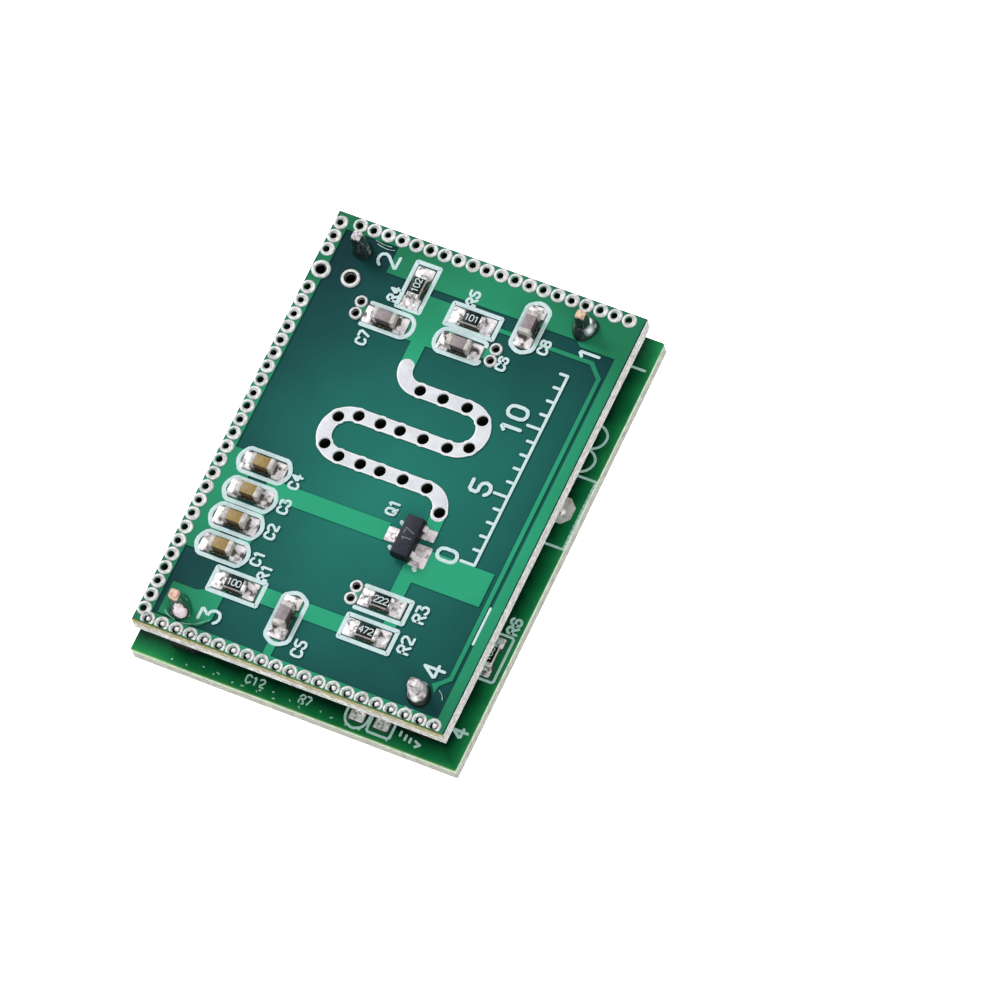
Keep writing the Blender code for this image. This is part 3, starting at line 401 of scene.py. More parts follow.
BOARD = board_finish("antenna_laminate", antenna_mask, (215, 215, 213), (152, 151, 148), 0.36,
                     (TOP - 0.58, TOP - 0.36, 0.34), (150, 142, 92), CUT_END)
CONTROL = board_finish("control_laminate", control_mask, (182, 182, 174), (146, 144, 136), 0.5,
                       (CONTROL_TOP - 0.40, CONTROL_TOP - 0.20, 0.14), (184, 210, 184))
MASKED = masked_copper_finish()
TIN = tin_finish("bright_tin", (240, 237, 238), (92, 86, 84), 0.40, 0.28, 0.03, 0.35, (0.34, 0.56))
# Solder fillets: painted shade where they climb the chips.
FILLET_TIN = tin_finish("fillet_tin", (240, 235, 237), (78, 71, 69), 0.40, 0.40, 0.03, 0.35,
                        (0.31, 0.50), (TOP + 0.18, TOP + 0.34))
LEAD_TIN = tin_finish("lead_tin", (240, 232, 235), (158, 148, 151), 0.42, 0.36, 0.02, 0.3,
                      (0.30, 0.50))
CAP_TIN = tin_finish("cap_tin", (206, 202, 197), (160, 156, 151), 0.46, 0.30, 0.02, 0.3)
TRACK_TIN = tin_finish("track_tin", (219, 222, 226), (208, 210, 215), 0.52, 0.6, 0.006, 0.2)
# The serpentine's rounded edges and hole lips: the same tin painted brighter, as a painted highlight.
HIGHLIGHT_RIM_TIN = tin_finish("rim_tin_painted_highlight", (246, 247, 249), (232, 233, 237), 0.42, 0.5, 0.006, 0.2)
PAD_TIN = tin_finish("pad_tin", (240, 230, 230), (206, 190, 188), 0.45, 0.35, 0.02, 0.15)
RING_TIN = tin_finish("ring_tin", (224, 227, 226), (182, 184, 184), 0.40, 0.25, 0.014, 0.3)
# Hole linings: tin painted near black, as the shade inside the holes.
BARREL_SHADE = tin_finish("barrel_painted_shade", (40, 40, 38), (14, 15, 14), 0.40, 0.18, 0.03, 0.6)
SOLDER = tin_finish("solder", (226, 220, 223), (118, 112, 110), 0.30, 0.45, 0.05, 0.7)
COPPER_TIP = tin_finish("copper_tip", (226, 196, 170), (172, 134, 108), 0.36, 0.2, 0.02, 0.2)
ROSE_TIP = tin_finish("rose_tip", (226, 190, 172), (180, 136, 116), 0.36, 0.2, 0.02, 0.2)
SILVER_TIP = tin_finish("silver_tip", (226, 218, 223), (140, 132, 138), 0.36, 0.16, 0.03, 0.25)
PIN_METAL = tin_finish("pin_metal", (232, 202, 150), (182, 148, 96), 0.25, 0.3, 0.02, 0.8)
# Tan and mauve chips: the last colour is painted shade on their upright sides.
TAN = grainy_finish("tan_ceramic", (158, 134, 78), (138, 112, 58), 0.5, 0.07, 0.008, (84, 62, 30))
MAUVE = grainy_finish("mauve_ceramic", (154, 141, 145), (130, 117, 121), 0.5, 0.07, 0.008,
                      (74, 66, 66))
ALUMINA = grainy_finish("white_ceramic", (214, 210, 202), (184, 180, 172), 0.55, 0.06, 0.006)
GLAZE = grainy_finish("black_glaze", (22, 21, 22), (12, 11, 12), 0.36, 0.08, 0.006,
                      Specular_IOR_Level=0.2)
# The moulding's last colour is painted shade on its upright sides.
MOULD = grainy_finish("moulding", (46, 47, 62), (33, 34, 45), 0.5, 0.05, 0.012, (22, 22, 28),
                      Specular_IOR_Level=0.2)
BLACK = grainy_finish("black_plastic", (30, 30, 31), (20, 20, 21), 0.45, 0.08, 0.01)
NYLON = grainy_finish("white_nylon", (208, 205, 195), (190, 186, 174), 0.42, 0.12, 0.01,
                      Subsurface_Weight=0.15, Subsurface_Scale=0.0008)
WHITE_INK = grainy_finish("silkscreen", (207, 228, 230), (191, 214, 216), 0.6, 0.10, 0.008,
                          Specular_IOR_Level=0.2)
PALE_INK = grainy_finish("control_silkscreen", (206, 236, 232), (186, 220, 212), 0.6, 0.10, 0.008,
                         Specular_IOR_Level=0.2)
SPECK = grainy_finish("via_speck", (232, 250, 240), (110, 178, 136), 0.4, 0.06, 0.01)
GREY_INK = grainy_finish("grey_mark", (118, 118, 124), (92, 92, 98), 0.5, 0.06, 0.004)
# Flux, also laid under and beside the chips as painted shadow.
FLUX_AND_SHADOW = grainy_finish("flux", (52, 48, 26), (18, 20, 14), 0.16, 0.16, 0.03, Coat_Weight=0.4)
GLINT = grainy_finish("flux_glint", (186, 218, 206), (96, 152, 132), 0.2, 0.12, 0.01)
HOLE_DARK = grainy_finish("hole_shade", (40, 46, 34), (10, 13, 10), 0.5, 0.045, 0.02)
BARE_LAMINATE = grainy_finish("bare_laminate", (58, 84, 72), (30, 52, 46), 0.5, 0.12, 0.01)


class Shape:
    """Points and faces of one piece, gathered shape by shape."""

    def __init__(self):
        self.points = []
        self.faces = []

    def tube(self, rows, ring=False):
        """Closed loops of equal length joined in order; the ends are capped unless it is a ring."""
        count = len(rows[0])
        starts = [len(self.points) + count * index for index in range(len(rows))]
        for row in rows:
            self.points += row
        for first, second in zip(starts, starts[1:] + starts[:ring]):
            for step in range(count):
                after = (step + 1) % count
                self.faces.append((first + step, first + after, second + after, second + step))
        if not ring:
            self.faces.append(tuple(starts[0] + step for step in reversed(range(count))))
            self.faces.append(tuple(starts[-1] + step for step in range(count)))
        return self

    def turned(self, u, v, stations):
        """A ring round an upright line, from the radius and height of each of its loops."""
        return self.tube([circle(u, v, radius, z) for radius, z in stations], ring=True)

    def rounded_box(self, centre, size, radius, turn=0.0, segments=2):
        """A box in millimetres with bevelled edges, turned about the vertical."""
        shape = bmesh.new()
        scale = Matrix.Diagonal((*[mm(side) for side in size], 1.0))
        bmesh.ops.create_cube(shape, size=1.0, matrix=scale)
        bmesh.ops.bevel(shape, geom=shape.edges[:], offset=mm(radius), segments=segments,
                        affect="EDGES", profile=0.5)
        shape.transform(Matrix.Translation(centre) @ Matrix.Rotation(turn, 4, "Z"))
        shape.verts.index_update()
        base = len(self.points)
        self.points += [corner.co.copy() for corner in shape.verts]
        self.faces += [tuple(base + corner.index for corner in face.verts) for face in shape.faces]
        shape.free()
        return self

    def mesh(self, name):
        made = bpy.data.meshes.new(name)
        made.from_pydata([tuple(point) for point in self.points], [], self.faces)
        shape = bmesh.new()
        shape.from_mesh(made)
        bmesh.ops.recalc_face_normals(shape, faces=shape.faces)
        shape.to_mesh(made)
        shape.free()
        return made


def link(name, data):
    """Put an object in the scene."""
    made = bpy.data.objects.new(name, data)
    bpy.context.scene.collection.objects.link(made)
    return made


def add_piece(name, shape, material, slot, smooth=35.0):
    """Put a piece in the scene, riding on the module's one body."""
    made = link(name, shape.mesh(name))
    made.data.materials.append(material)
    made.data.shade_smooth()
    made.data.set_sharp_from_angle(angle=math.radians(smooth))
    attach(made, "root")
    return made


def numbered(prefix, first, last):
    return ["%s_%d" % (prefix, number) for number in range(first, last + 1)]


def paint_frame():
    """Give the CAD nodes that stay their materials."""
    tracks = ["%s_track" % name for name in
              ("collector", "base", "output", "supply", "feed", "antenna")]
    for material, nodes in (
            (BOARD, ["antenna_board"]), (CONTROL, ["control_board"]), (NYLON, ["header_housing"]),
            (MASKED, ["ground_plane"] + tracks), (PAD_TIN, numbered("header_pad", 1, 4)),
            (COPPER_TIP, ["pin_1"]), (SILVER_TIP, ["pin_2"]), (ROSE_TIP, ["pin_3"]),
            (SOLDER, ["pin_4"] + numbered("lower_solder", 1, 4)),
            (PIN_METAL, numbered("header_contact", 1, 3)), (BLACK, numbered("spacer", 1, 4)),
            (MOULD, ["controller_chip", "voltage_regulator"])):
        for node in nodes:
            NODES[node].data.materials.clear()
            NODES[node].data.materials.append(material)


def angles(steps):
    """The directions of a loop's points."""
    return [math.tau * step / steps for step in range(steps)]


def circle(u, v, radius, z, limits=None):
    """A level loop of points, kept inside (u0, v0, u1, v1) where limits are given."""
    loop = []
    for angle in angles(RING_STEPS):
        x, y = u + radius * math.cos(angle), v + radius * math.sin(angle)
        if limits:
            x = min(max(x, limits[0]), limits[2])
            y = min(max(y, limits[1]), limits[3])
        loop.append(at(x, y, z))
    return loop


def draw_waves(rng, low, high, counts=(2, 3, 5)):
    """Waves that run round a loop: the height, number and start of each."""
    return [(rng.uniform(low, high), count, rng.uniform(0, math.tau)) for count in counts]


def wave(waves, angle, shift=0.0):
    return sum(high * math.sin(count * angle + start + shift) for high, count, start in waves)


def wavy_loop(u, v, points):
    """A loop from the direction, reach and height of each of its points."""
    return [at(u + reach * math.cos(angle), v + reach * math.sin(angle), z)
            for angle, reach, z in points]


def blob(shape, u, v, radius, base, height, rng, steps):
    """A low drop with a wavering outline."""
    waves = draw_waves(rng, 0.03, 0.12)
    rows = []
    for ring in range(BLOB_RINGS + 1):
        rise = ring / BLOB_RINGS * math.pi / 2
        reach, z = radius * math.cos(rise * 0.96), base + height * math.sin(rise)
        rows.append(wavy_loop(u, v, [(angle, reach * (1 + wave(waves, angle)), z)
                                     for angle in angles(steps)]))
    shape.tube(rows)


def evenly(start, step, count):
    """Places at an even pitch."""
    return [(start[0] + step[0] * index, start[1] + step[1] * index) for index in range(count)]


def fence_holes():
    """The rows of plated holes along the antenna board's top, left and bottom edges."""
    return [place for row in FENCE_ROWS for place in evenly(*row)]


def pair_holes():
    """The pairs of plated holes beside three of the chips."""
    places = []
    for node, shift in PAIR_SHIFTS.items():
        u, v = place_of(node)
        places += evenly((u + shift[0], v + shift[1]), (0, PAIR_PITCH), 2)
    return places


def track_holes():
    """The serpentine's plated holes, along its rows and round its bends."""
    places = [(u, TRACK_ROWS[0]) for u in ROW_HOLES[2:]]
    for (centre, radius), facing, row in ((RIGHT_BEND, 0, 1), (LEFT_BEND, 180, 2)):
        places += [on_arc(centre, radius, facing + side * BEND_HOLE_ANGLE) for side in (-1, 1)]
        places += [(u, TRACK_ROWS[row]) for u in ROW_HOLES]
    return places + [LAST_HOLE]


def ring_rows(u, v, bore, outer, floor, lean):
    """The loops of one plated hole's ring: up the outside, over the top, down a sloping lip."""
    top, lip, wall = COPPER + RING_RISE, bore + LIP, bore + 0.04
    stations = [(outer, TOP, 0), (outer, top - RING_EDGE, 0),
                (outer - RING_EDGE * 0.4, top - RING_EDGE * 0.3, 0),
                (outer - RING_EDGE * 1.3, top, 0), (lip + 0.03, top, 0), (lip, top - 0.01, 0),
                (lip - 0.03, COPPER + floor, 0.4), (bore, COPPER + floor - 0.045, 1),
                (bore, TOP - RING_DEPTH, 1), (wall, TOP - RING_DEPTH, 1), (wall, TOP, 1)]
    return [circle(u + lean[0] * share, v + lean[1] * share, radius, z, RING_LIMITS)
            for radius, z, share in stations]


def shade_stations(bore, dark):
    """A thin dark bevel over a ring's inner part, where the hole's own shade reaches it."""
    top = COPPER + RING_RISE
    return [(dark, top - 0.012), (dark - 0.005, top + 0.003), (bore + 0.02, top + 0.003),
            (bore, top - 0.02), (bore, top - 0.06), (bore + 0.03, top - 0.06)]


def barrel_stations(bore):
    """The lining of a hole, painted dark as the shade inside it, from under its lip down through the
    board.
    """
    high, low, inner = COPPER - 0.06, TOP - BARREL_END, bore - BARREL_GAP
    return [(bore + BARREL_WALL, high), (inner, high), (inner, low), (bore + BARREL_WALL, low)]


def make_rings():
    """Bare tinned rings of the plated holes, with their linings painted dark as the shade inside the
    holes, and their fills.
    """
    fence, rings, barrels, fills = Shape(), Shape(), Shape(), Shape()
    holes = fence_holes()
    low_row = max(v for u, v in holes)
    rng = random.Random(17)
    for u, v in holes:
        filled = v == low_row
        lean = (0.0, 0.0) if filled else (LIP_LEAN[0] + rng.uniform(-0.02, 0.02),
                                          LIP_LEAN[1] + rng.uniform(-0.03, 0.03))
        bore = FENCE_RING[0] + (0.03 if filled else rng.uniform(-0.02, 0.02))
        fence.tube(ring_rows(u, v, bore, FENCE_RING[1], FENCE_FLOOR, lean), ring=True)
        barrels.turned(u + lean[0], v + lean[1], barrel_stations(bore))
        if filled:
            blob(fills, u + FILL_SHIFT[0], v + FILL_SHIFT[1], FILL_RADIUS, TOP - FILL_DEPTH,
                 FILL_HEIGHT, rng, 16)
    pairs = [(place, PAIR_RING, (0.0, 0.0), 0.25) for place in pair_holes()]
    for (u, v), size, lean, dark in pairs + LARGE_HOLES:
        rings.tube(ring_rows(u, v, *size, RAISED_FLOOR, lean), ring=True)
        barrels.turned(u + lean[0], v + lean[1], barrel_stations(size[0]))
        barrels.turned(u, v, shade_stations(size[0], dark))
    add_piece("fence_rings", fence, RING_TIN, "tinned_copper", 50)
    add_piece("ground_rings", rings, RING_TIN, "tinned_copper", 50)
    add_piece("hole_shade_linings", barrels, BARREL_SHADE, "tinned_copper", 50)
    add_piece("hole_fills", fills, LEAD_TIN, "solder", 60)


def track_path():
    """The serpentine's centre line as close points."""
    targets = [TRACK_START, (TRACK_START[0], FIRST_BEND[0][1])]
    for (centre, radius), start, stop in ((FIRST_BEND, 180, 90), (RIGHT_BEND, -90, 90),
                                          (LEFT_BEND, 270, 90), (LAST_BEND, -90, 0)):
        steps = round(abs(math.radians(stop - start)) * radius / TRACK_STEP)
        targets += [on_arc(centre, radius, start + (stop - start) * step / steps)
                    for step in range(steps + 1)]
    targets.append((targets[-1][0], targets[-1][1] + TRACK_TAIL))
    path = targets[:1]
    for target in targets[1:]:
        origin = path[-1]
        count = max(1, round(math.dist(origin, target) / TRACK_STEP))
        for step in range(1, count + 1):
            point = tuple(a + (b - a) * (step / count) for a, b in zip(origin, target))
            if math.dist(point, path[-1]) > TRACK_STEP * 0.3:
                path.append(point)
    return path


def half_width(point, travelled, left, holes):
    """Half the track's width: round at both ends and swollen round each hole."""
    half = TRACK_HALF
    for hole in holes:
        gap = math.dist(point, hole)
        if gap < BUMP_RADIUS:
            half = max(half, math.sqrt(BUMP_RADIUS ** 2 - gap ** 2))
    nearest = min(travelled, left)
    if nearest < TRACK_HALF:
        half = min(half, math.sqrt(max(TRACK_HALF ** 2 - (TRACK_HALF - nearest) ** 2, 0.0004)))
    return half


def crosswise(point, ahead, outline):
    """An upright cross-section, from its points' shifts to the side and their heights."""
    side = Vector((-ahead.y, ahead.x))
    return [at(point[0] + side.x * shift, point[1] + side.y * shift, z) for shift, z in outline]


def track_section(point, ahead, half):
    """A cross-section of the tinned track: flat below and softly domed above."""
    rim = min(0.07, half * 0.4)
    right = [(half - rim, COPPER + TRACK_RISE), (half - rim * 0.3, COPPER + TRACK_RISE * 0.7),
             (half, COPPER + 0.012), (half, COPPER - 0.03)]
    left = [(-shift, z) for shift, z in reversed(right)]
    return crosswise(point, ahead, left + [(0.0, COPPER + TRACK_RISE * 1.15)] + right)


def make_track():
    """The bare serpentine: a tinned ribbon with a plated hole wherever the board has one. Its rounded
    edges and hole lips take a brighter tin as a painted highlight, and its holes are lined with painted
    shade.
    """
    holes = track_holes()
    path = track_path()
    total = [0.0]
    for first, second in zip(path, path[1:]):
        total.append(total[-1] + math.dist(first, second))
    rows = []
    for index, point in enumerate(path):
        before, after = path[max(index - 1, 0)], path[min(index + 1, len(path) - 1)]
        ahead = Vector((after[0] - before[0], after[1] - before[1])).normalized()
        half = half_width(point, total[index], total[-1] - total[index], holes)
        rows.append(track_section(point, ahead, half))
    ribbon = add_piece("serpentine_tin", Shape().tube(rows), TRACK_TIN, "tinned_copper")
    # The second material, the brighter tin, is a painted highlight on the ribbon's rounded edges.
    ribbon.data.materials.append(HIGHLIGHT_RIM_TIN)
    sides = len(rows[0])
    for index in range((len(rows) - 1) * sides):
        ribbon.data.polygons[index].material_index = 0 if index % sides in TRACK_TOP_FACES else 1
    drill, lips, shades = Shape(), Shape(), Shape()
    bore, outer = TRACK_RING
    top = COPPER + TRACK_RISE * 1.2
    floor, lining = TOP - BARREL_END, bore + BARREL_WALL
    for u, v in holes:
        drill.tube([circle(u, v, bore + 0.03, z) for z in (COPPER - 0.3, COPPER + 0.3)])
        lips.turned(u, v, [(outer, TOP - 0.3), (outer, top - 0.03), (bore + 0.05, top),
                           (bore + 0.01, top - 0.02), (bore, top - 0.06), (bore, TOP - 0.05),
                           (bore + 0.02, TOP - 0.3)])
        # The serpentine's holes are lined in painted shade.
        shades.turned(u, v, [(lining, TOP - 0.06), (bore - BARREL_GAP, TOP - 0.06),
                             (bore - BARREL_GAP, floor + 0.1), (0.05, floor + 0.14),
                             (0.05, floor), (lining, floor)])
    apply_boolean(ribbon, link("drill", drill.mesh("drill")))
    add_piece("serpentine_lips", lips, HIGHLIGHT_RIM_TIN, "tinned_copper", 50)
    add_piece("serpentine_linings", shades, HOLE_DARK, "tinned_copper", 50)


def apply_boolean(target, cutter):
    """Cut one object from another for good, and remove the cutter."""
    step = target.modifiers.new("cut", "BOOLEAN")
    step.operation = "DIFFERENCE"
    step.solver = "EXACT"
    step.object = cutter
    bpy.context.view_layer.update()
    graph = bpy.context.evaluated_depsgraph_get()
    result = bpy.data.meshes.new_from_object(target.evaluated_get(graph))
    target.modifiers.clear()
    target.data = result
    bpy.data.objects.remove(cutter, do_unlink=True)


# Strokes of the letters that mark the pieces, on a unit of height with y up
BOWL = [(0.62, 0.18), (0.48, 0), (0.14, 0), (0, 0.18)]
LOOP = [(0.14, 0), (0.48, 0), (0.62, 0.2), (0.62, 0.8), (0.48, 1), (0.14, 1), (0, 0.8), (0, 0.2),
        (0.14, 0)]
LETTERS = {
    "C": [LOOP[3:] + LOOP[1:3]],
    "Q": [LOOP, [(0.36, 0.3), (0.66, -0.04)]],
    "R": [[(0, 0), (0, 1), (0.46, 1), (0.61, 0.86), (0.61, 0.62), (0.46, 0.48), (0, 0.48)],
          [(0.3, 0.48), (0.62, 0)]],
    "0": [LOOP],
    "1": [[(0.12, 0.8), (0.34, 1), (0.34, 0)]],
    "2": [[(0, 0.84), (0.14, 1), (0.48, 1), (0.62, 0.84), (0.62, 0.62), (0, 0.02), (0.64, 0)]],
    "3": [[(0, 1), (0.6, 1), (0.28, 0.6), (0.45, 0.6), (0.62, 0.42), *BOWL]],
    "4": [[(0.46, 0), (0.46, 1)], [(0.46, 1), (0, 0.34), (0.64, 0.34)]],
    "5": [[(0.6, 1), (0.04, 1), (0.02, 0.56), (0.44, 0.58), (0.62, 0.42), *BOWL]],
    "6": [[(0.6, 0.84), (0.46, 1), (0.16, 1), (0, 0.8), (0, 0.18), (0.14, 0), (0.48, 0), (0.62, 0.18),
           (0.62, 0.4), (0.48, 0.56), (0.14, 0.56), (0, 0.42)]],
    "7": [[(0, 1), (0.62, 1), (0.2, 0)]],
    "8": [[(0.14, 0.54), (0.02, 0.66), (0.02, 0.86), (0.14, 1), (0.48, 1), (0.6, 0.86), (0.6, 0.66),
           (0.48, 0.54), (0.14, 0.54)],
          [(0.14, 0.54), (0, 0.4), (0, 0.14), (0.14, 0), (0.48, 0), (0.62, 0.14), (0.62, 0.4),
           (0.48, 0.54), (0.14, 0.54)]],
}
LETTER_WIDTH = 0.62
LETTER_STEP = 0.86


def text_paths(text, u, v, height, level=False, step=LETTER_STEP):
    """Strokes of a text that starts at a place and reads up the layout, or level along it."""
    paths = []
    for index, letter in enumerate(text):
        for stroke in LETTERS[letter]:
            flat = [((x + index * step) * height, y * height) for x, y in stroke]
            paths.append([(u + x, v - y) if level else (u - y, v - x) for x, y in flat])
    return paths


def labels(rows):
    return [path for row in rows for path in text_paths(*row)]


def is_closed(path):
    return math.dist(path[0], path[-1]) < 0.001


def rounded_path(path, cut):
    """The same path with its corners cut off, so that a stroke turns softly."""
    points = [Vector(point) for point in path]
    closed = is_closed(path)
    result = [] if closed else points[:1]
    for index in range(0 if closed else 1, len(points) - 1):
        for neighbour in (points[index - 1] if index else points[-2], points[index + 1]):
            away = neighbour - points[index]
            result.append(points[index] + away * min(cut / max(away.length, 0.0001), 0.4))
    return result + [result[0] if closed else points[-1]]


def stroke_rows(path, width, z, height):
    """Cross-sections of an inked stroke, with round ends unless it closes on itself."""
    points = [Vector(point) for point in path]
    closed = is_closed(path)
    half = width / 2
    stations = []
    befores = [points[-2] if closed else None] + points[:-1]
    afters = points[1:] + [points[1] if closed else None]
    for before, point, after in zip(befores, points, afters):
        first = (point - before if before else after - point).normalized()
        second = (after - point).normalized() if after else first
        ahead = (first + second).normalized()
        stations.append((point, ahead, half / max(ahead.dot(first), 0.5)))
    if closed:
        stations.pop()
    else:
        lead, tail = [[(point + ahead * side * half * math.cos(turn), ahead, half * math.sin(turn))
                       for turn in END_TURNS]
                      for (point, ahead, _), side in ((stations[0], -1), (stations[-1], 1))]
        stations = lead + stations + tail[::-1]
    rows = []
    for point, ahead, reach in stations:
        right = [(reach * 0.88, z + height), (reach, z + height * 0.7), (reach, z)]
        left = [(-shift, level) for shift, level in reversed(right)]
        rows.append(crosswise(point, ahead, left + right))
    return rows


def ink(name, paths, z, width=INK, height=INK_HEIGHT, material=WHITE_INK, cut=0.12,
        slot="masked_copper"):
    """One printed piece of many strokes."""
    shape = Shape()
    for index, path in enumerate(paths):
        soft = rounded_path(path, cut) if len(path) > 2 else path
        rows = stroke_rows(soft, width, z, height + index % INK_LEVELS * INK_STAGGER)
        shape.tube(rows, ring=is_closed(soft))
    add_piece(name, shape, material, slot)


def oblong(u0, v0, u1, v1):
    """The outline of a rectangle."""
    return [(u0, v0), (u1, v0), (u1, v1), (u0, v1), (u0, v0)]


def bowed(u0, v0, u1, v1, upright=False):
    """The outline of an oblong whose short ends bow outwards."""
    if not upright:
        return [(u, v) for v, u in bowed(v0, u0, v1, u1, True)]
    near = []
    for step in range(BOW_STEPS + 1):
        share = step / BOW_STEPS
        near.append((u0 + (u1 - u0) * share, v0 + BOW * (1 - math.sin(math.pi * share))))
    far = [(u, v0 + v1 - v) for u, v in reversed(near)]
    return near + far + near[:1]


# Print on the antenna board: outlines, labels with their place and height, and dots
OUTLINES = [
    *[bowed(1.54, v0, 5.11, v1) for v0, v1 in
      ((17.24, 18.91), (19.39, 21.01), (21.34, 23.01), (23.39, 25.01))],
    bowed(8.38, 25.25, 10.02, 28.92, True), bowed(14.29, 1.44, 15.86, 5.06, True),
    [(4.85, 5.25), (7.6, 5.25), (7.95, 5.5), (8.08, 5.85), (8.08, 6.2), (7.95, 6.55), (7.6, 6.85),
     (4.75, 6.85)],
    [(13.02, 5.42), (12.92, 5.2), (10.1, 5.17), (9.8, 5.45), (9.67, 5.85), (9.67, 6.2), (9.8, 6.55),
     (10.1, 6.83), (12.92, 6.8), (13.02, 6.6)],
]
RESISTOR_OUTLINES = [
    oblong(3.61, 25.42, 7.03, 27.05), oblong(12.76, 25.33, 16.20, 26.97),
    oblong(6.34, 1.54, 7.96, 4.86), oblong(9.79, 3.34, 13.16, 4.90),
    [(13.0, 23.20), (16.21, 23.20), (16.21, 24.80), (12.9, 24.80)],
]
LABELS = [
    ("R4", 6.2, 4.66, 0.62), ("C7", 5.62, 8.16, 0.64), ("R5", 11.1, 3.12, 0.64),
    ("C8", 16.8, 4.66, 0.62), ("C6", 14.75, 6.64, 0.60), ("C4", 5.98, 18.86, 0.64),
    ("C3", 6.05, 20.66, 0.64), ("C2", 6.06, 22.54, 0.64), ("C1", 6.02, 24.50, 0.64),
    ("R1", 6.88, 25.22, 0.66), ("C5", 11.2, 29.2, 0.72), ("R3", 17.4, 24.3, 0.74),
    ("R2", 17.4, 26.55, 0.74), ("Q1", 12.56, 18.24, 0.66),
]
PIN_LABELS = [("1", 20.05, 4.05, 1.35), ("2", 5.2, 2.62, 1.35), ("3", 5.26, 29.06, 1.32),
              ("4", 20.1, 27.4, 1.35)]
DOTS = [(13.25, 18.5), (13.25, 20.3), (15.3, 21.1)]


def make_silkscreen():
    """Outlines round the chips, their labels, the pins' numbers and small marks."""
    ink("chip_outlines", OUTLINES, COPPER)
    ink("resistor_outlines", RESISTOR_OUTLINES, COPPER, cut=0.04)
    ink("chip_labels", labels(LABELS), COPPER, LABEL_INK)
    ink("pin_labels", labels(PIN_LABELS), COPPER, PIN_INK)
    dots = [[(u - 0.06, v - 0.05), (u + 0.06, v + 0.05)] for u, v in DOTS]
    ink("transistor_dots", dots, COPPER, DOT_INK)
    ink("edge_line", [[(20.95, 21.8), (20.95, 24.4)]], COPPER, LINE_INK)


# The scale: its line's place, first mark and count, the marks' lengths, the numbers' height and gap
SCALE_LINE = 18.75
SCALE_START = 19.5
SCALE_COUNT = 14
SHORT_MARK, LONG_MARK = 0.5, 0.95
SCALE_NUMBERS, SCALE_GAP = 1.3, 1.25


def make_scale():
    """A plain millimetre scale with numbers, where the board has room for print."""
    marks = [[(SCALE_LINE, SCALE_START), (SCALE_LINE, SCALE_START - SCALE_COUNT)]]
    numbers = []
    for mark in range(SCALE_COUNT + 1):
        v = SCALE_START - mark
        marks.append([(SCALE_LINE, v), (SCALE_LINE - (SHORT_MARK if mark % 5 else LONG_MARK), v)])
        if mark % 5 == 0:
            text = str(mark)
            length = ((len(text) - 1) * LETTER_STEP + 0.6) * SCALE_NUMBERS
            numbers += text_paths(text, SCALE_LINE - SCALE_GAP, v + length / 2, SCALE_NUMBERS)
    ink("scale_marks", marks, COPPER, PIN_INK)
    ink("scale_numbers", numbers, COPPER, NUMBER_INK)


CHIP_CAP = 0.32
CHIP_ROUND = 0.05
# Pads of the chips on the antenna board and on the control board: length and width, and span
PAD, PAD_SPAN = (0.85, 1.2), 3.0
CONTROL_PAD, CONTROL_SPAN = (0.8, 1.0), 2.8
OPENING = 0.1


class Chip:
    """The place, direction and size of a chip, from its node."""

    def __init__(self, node):
        low, high = box_mm(node)
        size = high - low
        self.place = Vector(place_of(node))
        self.level = size.x > size.y
        self.along = Vector((1, 0)) if self.level else Vector((0, 1))
        self.length, self.width = (size.x, size.y) if self.level else (size.y, size.x)
        self.height = size.z
        self.base = low.z
        self.top = low.z + size.z

    def box(self, shape, shift, z, size, radius, segments=2):
        """Add a rounded box that lies along the chip, moved along it from its middle."""
        turn = 0.0 if self.level else math.pi / 2
        shape.rounded_box(at(*(self.place + self.along * shift), z), size, radius, turn, segments)


def chip_look(node):
    """Material and slot of a chip's body."""
    if node.startswith("resistor"):
        return ALUMINA, "resistor_body"
    if node in numbered("capacitor", 1, 4):
        return TAN, "tan_ceramic"
    return MAUVE, "mauve_ceramic"


def make_chip_bodies(nodes):
    """A ceramic body for each chip, in place of its plain solid."""
    for node in nodes:
        chip, body = Chip(node), Shape()
        size = (chip.length - 2 * CHIP_CAP + 0.12, chip.width - 0.04, chip.height - 0.05)
        chip.box(body, 0, chip.base + chip.height / 2, size, CHIP_ROUND)
        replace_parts(add_piece(node + "_body", body, *chip_look(node)), node)


def make_chip_ends(name, nodes, material):
    """The tinned ends of the chips."""
    rng = random.Random(5)
    ends = Shape()
    for chip in map(Chip, nodes):
        for side in (-1, 1):
            cap = CHIP_CAP + rng.uniform(-0.03, 0.03)
            chip.box(ends, side * (chip.length - cap) / 2, chip.base + chip.height / 2,
                     (cap, chip.width, chip.height), CHIP_ROUND, 3)
    add_piece(name, ends, material, "solder", 60)


PATCH_COLUMNS = 14
PATCH_ROWS = 12


def pad_patch(shape, centre, away, inner, outer, width, base, climb, rng):
    """Solder on one pad: thin at the pad's outer edge and climbing the chip's end."""
    phase = [rng.uniform(0, math.tau) for _ in range(3)]
    sections = []
    for column in range(PATCH_COLUMNS + 1):
        rise = column / PATCH_COLUMNS
        reach = outer + (inner - outer) * rise
        half = (0.86 if column in (0, PATCH_COLUMNS) else 1.0) * width / 2
        outline = []
        for row in range(PATCH_ROWS + 1):
            across = 2 * row / PATCH_ROWS - 1
            swell = math.sqrt(1 - abs(across) ** 5)
            lumps = 0.012 * math.sin(5 * reach + 4 * across + phase[0])
            lumps += 0.010 * math.sin(9 * across - 6 * reach + phase[1])
            height = 0.02 + (0.05 + lumps) * swell * min(1.0, 6 * rise + 0.2)
            height += climb * rise ** 2.6 * max(0.0, 1 - 1.1 * across ** 2)
            outline.append((across * half, base + height))
        outline += [(half, base - 0.02), (-half, base - 0.02)]
        sections.append(crosswise(centre + away * reach, away, outline))
    shape.tube(sections)


